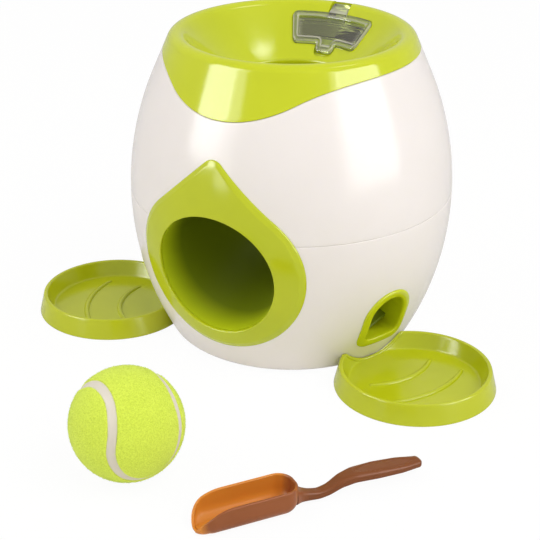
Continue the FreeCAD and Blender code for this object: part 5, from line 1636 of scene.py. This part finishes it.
@dataclass
class Scoop:
    """The treat scoop: a deep trough with a low front lip, and a handle that rises to a flat pad."""

    origin: tuple[float, float] = (72.7, -242.6)
    turn: float = 54.0
    length: float = 58.5
    half_width: float = 10.8
    height: float = 16.0
    wall: float = 1.6
    base_round: float = 8.0
    corner_round: float = 9.0
    lip_round: float = 20.0
    lip_height: float = 1.7
    spine: tuple[tuple[float, float, float, float], ...] = (
        # distance, top, bottom, half width
        (57.3, 13.2, 2.6, 7.2), (58.8, 11.8, 2.4, 5.6), (61.5, 9.4, 2.1, 4.0), (66.5, 7.1, 1.4, 3.2),
        (72.5, 5.7, 0.7, 3.1),
        (78.5, 6.8, 1.5, 3.3), (85.5, 10.5, 4.4, 4.1), (93.5, 12.0, 6.0, 5.2), (107.5, 11.5, 5.4, 6.2),
        (122.5, 10.1, 4.8, 5.9), (133.5, 8.8, 4.3, 3.9))
    tip: float = 136.1
    pad: tuple[float, float, float] = (94.0, 133.0, 0.5)

    def rim(self, distance: Array) -> Array:
        """Height of the rim at a distance from the front lip."""
        reach = np.clip(distance / self.lip_round, 0.0, 1.0)
        curve = np.sqrt(np.maximum(1.0 - (1.0 - reach) ** 2, 0.0))
        return self.lip_height + (self.height - self.lip_height) * curve

    def trough(self) -> bpy.types.Object:
        """The trough as columns round its rim, down the wall and in to the middle of the floor."""
        half, length = self.half_width, self.length
        corner = self.corner_round
        loop = rounded_loop([(0.0, -half, corner), (length, -half, corner), (length, half, corner),
                             (0.0, half, corner)], 24, (70, 4, 70, 4))
        inward = np.roll(loop, 1, axis=0) - np.roll(loop, -1, axis=0)
        inward = np.stack([inward[:, 1], -inward[:, 0]], axis=1)
        inward /= np.linalg.norm(inward, axis=1, keepdims=True)
        rings = []
        for spot, normal in zip(loop, inward):
            height = float(self.rim(np.array(spot[0])))
            corner = min(self.base_round, height * 0.75)
            inner = max(corner - self.wall, 0.2)
            edge = min(0.75, height * 0.4)
            deep = self.corner_round - 0.2
            section = rounded_loop([(deep, 0.0, 0.0), (0.0, 0.0, corner), (0.0, height, edge),
                                    (self.wall, height, edge),
                                    (self.wall, self.wall * 0.9, inner), (deep, self.wall * 0.9, 0.0)], 8,
                                    (2, 4, 0, 4, 2, 0))
            points = spot + normal * section[:, :1]
            core = np.array((min(max(spot[0], half * 0.9), length - half), 0.0))
            plan = np.concatenate([[core], points, [core]])
            levels = np.concatenate([[0.0], section[:, 1], [self.wall * 0.9]])
            rings.append(np.stack([plan[:, 0], plan[:, 1], levels], axis=1))
        return grid_solid("scoop_skin", np.stack(rings))

    def handle(self) -> bpy.types.Object:
        """The handle with its recessed oval panel."""
        stations = np.array(self.spine)
        reach = np.concatenate([np.linspace(stations[0, 0], stations[-1, 0], 150),
                                stations[-1, 0] + (self.tip - stations[-1, 0])
                                * np.sin(np.linspace(0, math.pi / 2, 12))[1:]])
        window = np.hanning(63)[1:-1]
        window /= window.sum()

        def curve(column: int) -> Array:
            fine = np.interp(np.linspace(40.0, 150.0, 1101), stations[:, 0], stations[:, column])
            fine = np.convolve(np.pad(fine, 30, mode="edge"), window, mode="valid")
            grid = np.linspace(40.0, 150.0, len(fine))
            return np.interp(np.minimum(reach, stations[-1, 0]), grid, fine)

        top, low, wide = curve(1), curve(2), curve(3)
        fade = np.sqrt(
            np.maximum(1 - (np.maximum(reach - stations[-1, 0],
            0) / (self.tip - stations[-1, 0] + 0.01)) ** 2, 0))
        turns = np.linspace(0.0, 2 * math.pi, 72, endpoint=False)
        power = 2 / 3.4
        across = np.sign(np.cos(turns)) * np.abs(np.cos(turns)) ** power
        up = np.sign(np.sin(turns)) * np.abs(np.sin(turns)) ** power
        rings = []
        start, end, depth = self.pad
        for distance, high, bottom, half, shrink in zip(reach, top, low, wide, fade):
            middle, thick = (high + bottom) / 2, (high - bottom) / 2
            side = across * half * max(shrink, 0.05)
            level = up * thick * max(shrink, 0.05)
            share = np.clip((distance - start) / (end - start), 0.0, 1.0)
            oval = math.sqrt(max(1 - (2 * share - 1) ** 2, 0.0)) * (half - 1.3)
            inside = np.clip((oval - np.abs(side)) / 0.5, 0.0, 1.0) * (up > 0)
            level = level - depth * inside
            rings.append(np.stack([np.full(len(turns), distance), side, middle + level], axis=1))
        return grid_solid("handle", np.stack(rings), wrap=False)

    def dress(self, wardrobe: Wardrobe) -> None:
        """Builds the scoop, turns it to its place and dresses it."""
        scoop = combine(self.trough(), [self.handle()], "UNION")
        turn = Matrix.Rotation(math.radians(self.turn), 4, "Z")
        scoop.data.transform(
            Matrix.Translation(Vector((self.origin[0] * MM, self.origin[1] * MM, 0.0))) @ turn)
        wardrobe.dress(scoop, "brown", Body.SCOOP, "scoop")


# Screws and the pieces that keep their solids

def screw_recipe() -> Recipe:
    """Pan-head screws with a cross recess on points."""
    recipe = Recipe("cross_screws")
    for name in ("Head", "Height", "Shank", "Length"):
        recipe.take(name)
    recipe.take("Turn", "NodeSocketVector")
    given = recipe.start().outputs
    head = recipe.add("GeometryNodeMeshCylinder",
                      {"Vertices": 48, "Radius": given["Head"], "Depth": given["Height"]},
                      fill_type="NGON").outputs["Mesh"]
    half = recipe.add("ShaderNodeMath", {0: given["Height"], 1: -0.5}, operation="MULTIPLY").outputs[0]
    head_spot = recipe.add("ShaderNodeCombineXYZ", {"Z": half}).outputs[0]
    head = recipe.add("GeometryNodeTransform",
                      {"Geometry": head, "Translation": head_spot}).outputs["Geometry"]
    long = recipe.add("ShaderNodeMath", {0: given["Length"], 1: 0.5}, operation="MULTIPLY").outputs[0]
    shank_spot = recipe.add("ShaderNodeCombineXYZ", {"Z": long}).outputs[0]
    shank = recipe.add("GeometryNodeMeshCylinder",
                       {"Vertices": 32, "Radius": given["Shank"], "Depth": given["Length"]},
                       fill_type="NGON").outputs["Mesh"]
    shank = recipe.add("GeometryNodeTransform",
                       {"Geometry": shank, "Translation": shank_spot}).outputs["Geometry"]
    bottom = recipe.add("ShaderNodeMath", {0: given["Height"], 1: -1.0}, operation="MULTIPLY").outputs[0]
    slot_spot = recipe.add("ShaderNodeCombineXYZ", {"Z": bottom}).outputs[0]
    slots = []
    for angle in (0.0, math.pi / 2):
        bar = recipe.add("GeometryNodeMeshCube", {"Size": (3.0 * MM, 0.62 * MM, 1.5 * MM)}).outputs["Mesh"]
        slots.append(
            recipe.add("GeometryNodeTransform",
            {"Geometry": bar, "Translation": slot_spot, "Rotation": (0.0, 0.0, angle)}).outputs["Geometry"])
    cut = recipe.add("GeometryNodeMeshBoolean", {"Mesh 1": head}, operation="DIFFERENCE", solver="EXACT")
    for slot in slots:
        recipe.tree.links.new(slot, cut.inputs["Mesh 2"])
    both = recipe.add("GeometryNodeJoinGeometry")
    for piece in (shank, cut.outputs["Mesh"]):
        recipe.tree.links.new(piece, both.inputs["Geometry"])
    placed = recipe.add(
        "GeometryNodeInstanceOnPoints",
        {"Points": given["Geometry"], "Instance": both.outputs["Geometry"], "Rotation": given["Turn"]})
    recipe.end(placed.outputs["Instances"], given["Material"])
    return recipe


def around(circle: float, angle: float, height: float) -> tuple[float, float, float]:
    """A place on a circle, with the angle from the front towards +X."""
    turn = math.radians(angle)
    return circle * math.sin(turn), -circle * math.cos(turn), height


@dataclass
class Screws:
    """The housing's screws, one piece for each set."""

    shank: float = 1.4

    def dress(self, wardrobe: Wardrobe) -> None:
        """Builds the sets of screws and dresses them."""
        recipe = screw_recipe()
        turn_over, turn_back = (math.pi, 0.0, 0.0), (-math.pi / 2, 0.0, 0.0)
        joint = [around(96.5, angle, 91.0) for angle in (100.0, -100.0, 155.0, -155.0)]
        base = [around(63.0, angle, 1.6) for angle in (45.0, 135.0, 225.0, 315.0)]
        hopper = [(52.0, 70.0, 91.0), (-52.0, 70.0, 91.0)]
        spring = [(47.2, 64.45, 109.0)]
        sets = (("shell_screws", joint, 2.8, 1.9, 18.0, (0.0, 0.0, 0.0)),
                ("base_screws", base, 2.8, 1.2, 10.0, (0.0, 0.0, 0.0)),
                ("hopper_screws", hopper, 2.8, 1.9, 11.0, turn_over),
                ("spring_screw", spring, 2.8, 1.4, 3.0, turn_back))
        for name, spots, head, height, length, turn in sets:
            item = points_object(name + "_skin", spots)
            recipe.grow(item, {"Head": head * MM, "Height": height * MM, "Shank": self.shank * MM,
                               "Length": length * MM,
                               "Turn": turn, "Material": wardrobe.material("steel")})
            wardrobe.dress(item, "steel", Body.HOUSING, name)


def dress_nodes(nodes: dict[str, bpy.types.Object], record: dict[str, Any], wardrobe: Wardrobe) -> None:
    """Gives the frame's own nodes their procedural finishes and smooth shading.

    Args:
        nodes: The frame's nodes by name.
        record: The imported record.
        wardrobe: The finishes.
    """
    for entry in record["subparts"]:
        node = nodes[entry["node"]]
        node.data.materials.clear()
        node.data.materials.append(wardrobe.material(entry["material_slot"]))
        node.data.shade_smooth()
        node.data.set_sharp_from_angle(angle=math.radians(30.0))


def dress_slide(node: bpy.types.Object, wardrobe: Wardrobe) -> None:
    """Gives the treat slide the green that shows through the spouts.

    Args:
        node: The frame's treat slide.
        wardrobe: The finishes.
    """
    mesh = bmesh.new()
    mesh.from_mesh(node.data)
    slide = finish_mesh("treat_slide_skin", mesh, math.radians(30.0))
    wardrobe.dress(slide, "chute_green", Body.HOUSING, "treat_slide")


# Studio

def direction(azimuth: float, elevation: float) -> Vector:
    """The way to a place in the room, in degrees from the front towards +X and up."""
    turn, rise = math.radians(azimuth), math.radians(elevation)
    return Vector((math.sin(turn) * math.cos(rise), -math.cos(turn) * math.cos(rise), math.sin(rise)))


@dataclass(frozen=True)
class Window:
    """A soft light box, placed by its direction from the toy.

    Attributes:
        name: The lamp's name.
        azimuth: Degrees from the front towards +X.
        elevation: Degrees up.
        size: Width and height in metres.
        power: Watts.
        mirrored: True for a box that only reflections show, False for one that only lights.
        distance: Metres from the toy.
    """

    name: str
    azimuth: float
    elevation: float
    size: tuple[float, float]
    power: float
    mirrored: bool
    distance: float = 1.8

    def build(self, target: Vector) -> None:
        """Adds the lamp, facing the target."""
        lamp = bpy.data.lights.new(self.name, "AREA")
        lamp.shape = "RECTANGLE"
        lamp.size, lamp.size_y = self.size
        lamp.energy = self.power
        item = bpy.data.objects.new(self.name, lamp)
        way = direction(self.azimuth, self.elevation)
        across = Vector((0.0, 0.0, 1.0)).cross(way).normalized()
        turn = Matrix((across, way.cross(across), way)).transposed().to_4x4()
        item.matrix_world = Matrix.Translation(target + way * self.distance) @ turn
        item.visible_camera = False
        item.visible_diffuse = not self.mirrored
        item.visible_glossy = self.mirrored
        item.visible_transmission = False
        bpy.context.scene.collection.objects.link(item)


WINDOWS = (
    Window("left_window", -39.0, 24.0, (0.80, 1.3), 26.0, True),
    Window("left_pane", -20.5, 20.0, (0.35, 1.5), 5.5, True),
    Window("right_window", 91.0, 14.0, (1.28, 1.45), 34.0, True),
    Window("right_pane", 68.0, 14.0, (0.22, 1.45), 2.4, True),
    Window("left_fill", -62.0, 35.0, (2.2, 1.8), 19.5, False, 2.2),
    Window("right_fill", 78.0, 50.0, (2.2, 1.8), 34.0, False, 2.2),
)


@dataclass(frozen=True)
class Skylight:
    """A four-cornered roof window that only the bowl mirrors, by the directions of its corners."""

    corners: tuple[tuple[float, float], ...] = ((118.0, 62.7), (87.7, 73.8), (111.4, 70.0), (138.4, 52.9))
    distance: float = 1.8
    strength: float = 8.0

    def build(self, target: Vector) -> None:
        """Adds the pane."""
        mesh = bmesh.new()
        spots = []
        for azimuth, elevation in self.corners:
            spots.append(mesh.verts.new(target + direction(azimuth, elevation) * self.distance))
        mesh.faces.new(spots)
        pane = finish_mesh("skylight", mesh)
        material = empty_material("skylight")
        tree = material.node_tree
        sky = add_node(tree, "ShaderNodeEmission", {"Color": srgb("FFFFFF"), "Strength": self.strength})
        add_node(tree, "ShaderNodeOutputMaterial", {"Surface": sky.outputs[0]})
        pane.data.materials.append(material)
        pane.visible_camera = pane.visible_diffuse = pane.visible_transmission = pane.visible_shadow = False


@dataclass(frozen=True)
class Glimmer:
    """The light that the real housing's translucent white walls let through to the slide."""

    places: tuple[tuple[float, float, float], ...] = ((62.0, -6.0, 74.0), (-62.0, -6.0, 74.0))
    power: float = 0.035
    size: float = 0.012
    mouth: tuple[float, float, float] = (16.0, -80.0, 88.0)
    mouth_power: float = 0.0055

    def build(self) -> None:
        """Adds a small soft lamp each side of the tunnel and one under its front edge."""
        lamp = bpy.data.lights.new("mouth_glimmer", "AREA")
        lamp.size = 0.03
        lamp.energy = self.mouth_power
        item = bpy.data.objects.new(lamp.name, lamp)
        item.location = Vector(self.mouth) * MM
        item.visible_camera = item.visible_glossy = item.visible_transmission = False
        bpy.context.scene.collection.objects.link(item)
        for number, place in enumerate(self.places):
            lamp = bpy.data.lights.new(f"glimmer_{number}", "POINT")
            lamp.energy = self.power
            lamp.shadow_soft_size = self.size
            item = bpy.data.objects.new(lamp.name, lamp)
            item.location = Vector(place) * MM
            item.visible_camera = item.visible_glossy = item.visible_transmission = False
            bpy.context.scene.collection.objects.link(item)


@dataclass
class Studio:
    """Floor, world, lights and camera."""

    camera_place: tuple[float, float, float] = (410.794, -773.868, 451.327)
    forward: tuple[float, float, float] = (-0.43563795, 0.79044069, -0.43060781)
    upward: tuple[float, float, float] = (-0.20784595, 0.37712485, 0.90253915)
    focal_pixels: float = 1459.335
    frame_pixels: float = 540.0
    sensor: float = 36.0
    ambient: float = 0.50
    mirrored: float = 0.6
    mottle: float = 120.0

    def camera(self) -> None:
        """The camera at the photograph's place and lens."""
        data = bpy.data.cameras.new("camera")
        data.sensor_width = self.sensor
        data.lens = self.focal_pixels / self.frame_pixels * self.sensor
        data.clip_start, data.clip_end = 0.05, 50.0
        item = bpy.data.objects.new("camera", data)
        ahead, up = Vector(self.forward).normalized(), Vector(self.upward).normalized()
        right = ahead.cross(up).normalized()
        up = right.cross(ahead)
        turn = Matrix((right, up, -ahead)).transposed().to_4x4()
        item.matrix_world = Matrix.Translation(Vector(self.camera_place) * MM) @ turn
        bpy.context.scene.collection.objects.link(item)
        bpy.context.scene.camera = item

    def seen_level(self, tree: bpy.types.NodeTree) -> tuple[bpy.types.NodeSocket, bpy.types.NodeSocket]:
        """Tells looks from scattered light.

        Args:
            tree: The tree that reads the light's path.

        Returns:
            One where the camera, a mirror or clear plastic looks, and the white that it then meets.
        """
        path = add_node(tree, "ShaderNodeLightPath").outputs
        straight = add_node(tree, "ShaderNodeMath",
                            {0: path["Is Camera Ray"], 1: path["Is Transmission Ray"]},
                            operation="MAXIMUM").outputs[0]
        both = add_node(tree, "ShaderNodeMath", {0: straight, 1: path["Is Glossy Ray"]},
                        operation="MAXIMUM").outputs[0]
        level = add_node(tree, "ShaderNodeMapRange", {
            "Value": straight, "From Min": 0.0, "From Max": 1.0, "To Min": self.mirrored, "To Max": 1.0})
        return both, level.outputs["Result"]

    def world(self) -> None:
        """White where it is seen, a softer level where it lights."""
        world = bpy.data.worlds.new("studio")
        world.use_nodes = True
        tree = world.node_tree
        tree.nodes.clear()
        seen, level = self.seen_level(tree)
        lights = add_node(tree, "ShaderNodeBackground", {"Color": srgb("FFFDFA"), "Strength": self.ambient})
        shows = add_node(tree, "ShaderNodeBackground", {"Color": srgb("FFFFFF"), "Strength": level})
        mixed = add_node(tree, "ShaderNodeMixShader", {0: seen, 1: lights.outputs[0], 2: shows.outputs[0]})
        add_node(tree, "ShaderNodeOutputWorld", {"Surface": mixed.outputs[0]})
        bpy.context.scene.world = world

    def floor(self) -> None:
        """A pale floor that reads white and keeps a faint shadow."""
        mesh = bmesh.new()
        bmesh.ops.create_grid(mesh, x_segments=1, y_segments=1, size=6.0)
        item = finish_mesh("floor", mesh)
        item.location.z = -0.0002
        material = empty_material("floor")
        tree = material.node_tree
        place = add_node(tree, "ShaderNodeTexCoord").outputs["Object"]
        mottle = add_node(tree, "ShaderNodeTexNoise", {
            "Vector": place, "Scale": 1.0 / (self.mottle * MM), "Detail": 2.0}).outputs["Fac"]
        tone = add_node(tree, "ShaderNodeMix", {0: mottle, 6: srgb("F7F6F3"), 7: srgb("FAF9F7")},
                        data_type="RGBA")
        paper = add_node(tree, "ShaderNodeBsdfDiffuse", {"Color": tone.outputs[2]})
        seen, level = self.seen_level(tree)
        white = add_node(tree, "ShaderNodeEmission", {"Color": srgb("FFFFFF"), "Strength": level})
        share = add_node(tree, "ShaderNodeMath", {0: seen, 1: 0.95}, operation="MULTIPLY")
        mixed = add_node(tree, "ShaderNodeMixShader",
                         {0: share.outputs[0], 1: paper.outputs[0], 2: white.outputs[0]})
        add_node(tree, "ShaderNodeOutputMaterial", {"Surface": mixed.outputs[0]})
        item.data.materials.append(material)

    def build(self) -> None:
        """Sets the whole studio up."""
        self.floor()
        self.world()
        for window in WINDOWS:
            window.build(Vector((0.02, -0.08, 0.09)))
        Skylight().build(Vector((0.0, 0.0, 0.18)))
        Glimmer().build()
        self.camera()
        bpy.context.scene.view_settings.view_transform = "Standard"


def main() -> None:
    """Builds the scene."""
    logging.basicConfig(level=logging.INFO, format="%(message)s")
    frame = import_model()
    wardrobe = Wardrobe()
    dress_nodes(frame["nodes"], frame["record"], wardrobe)
    spouts, hatch = Spouts(), Hatch()
    Housing().dress(wardrobe, spouts)
    Funnel().dress(wardrobe, hatch)
    hatch.dress(wardrobe)
    Chute().dress(wardrobe)
    ExitFrame().dress(wardrobe)
    spouts.dress(wardrobe)
    Trays().dress(wardrobe)
    Ball().dress(wardrobe)
    Scoop().dress(wardrobe)
    Screws().dress(wardrobe)
    dress_slide(frame["nodes"]["treat_slide"], wardrobe)
    Studio().build()


if __name__ == "__main__":
    main()
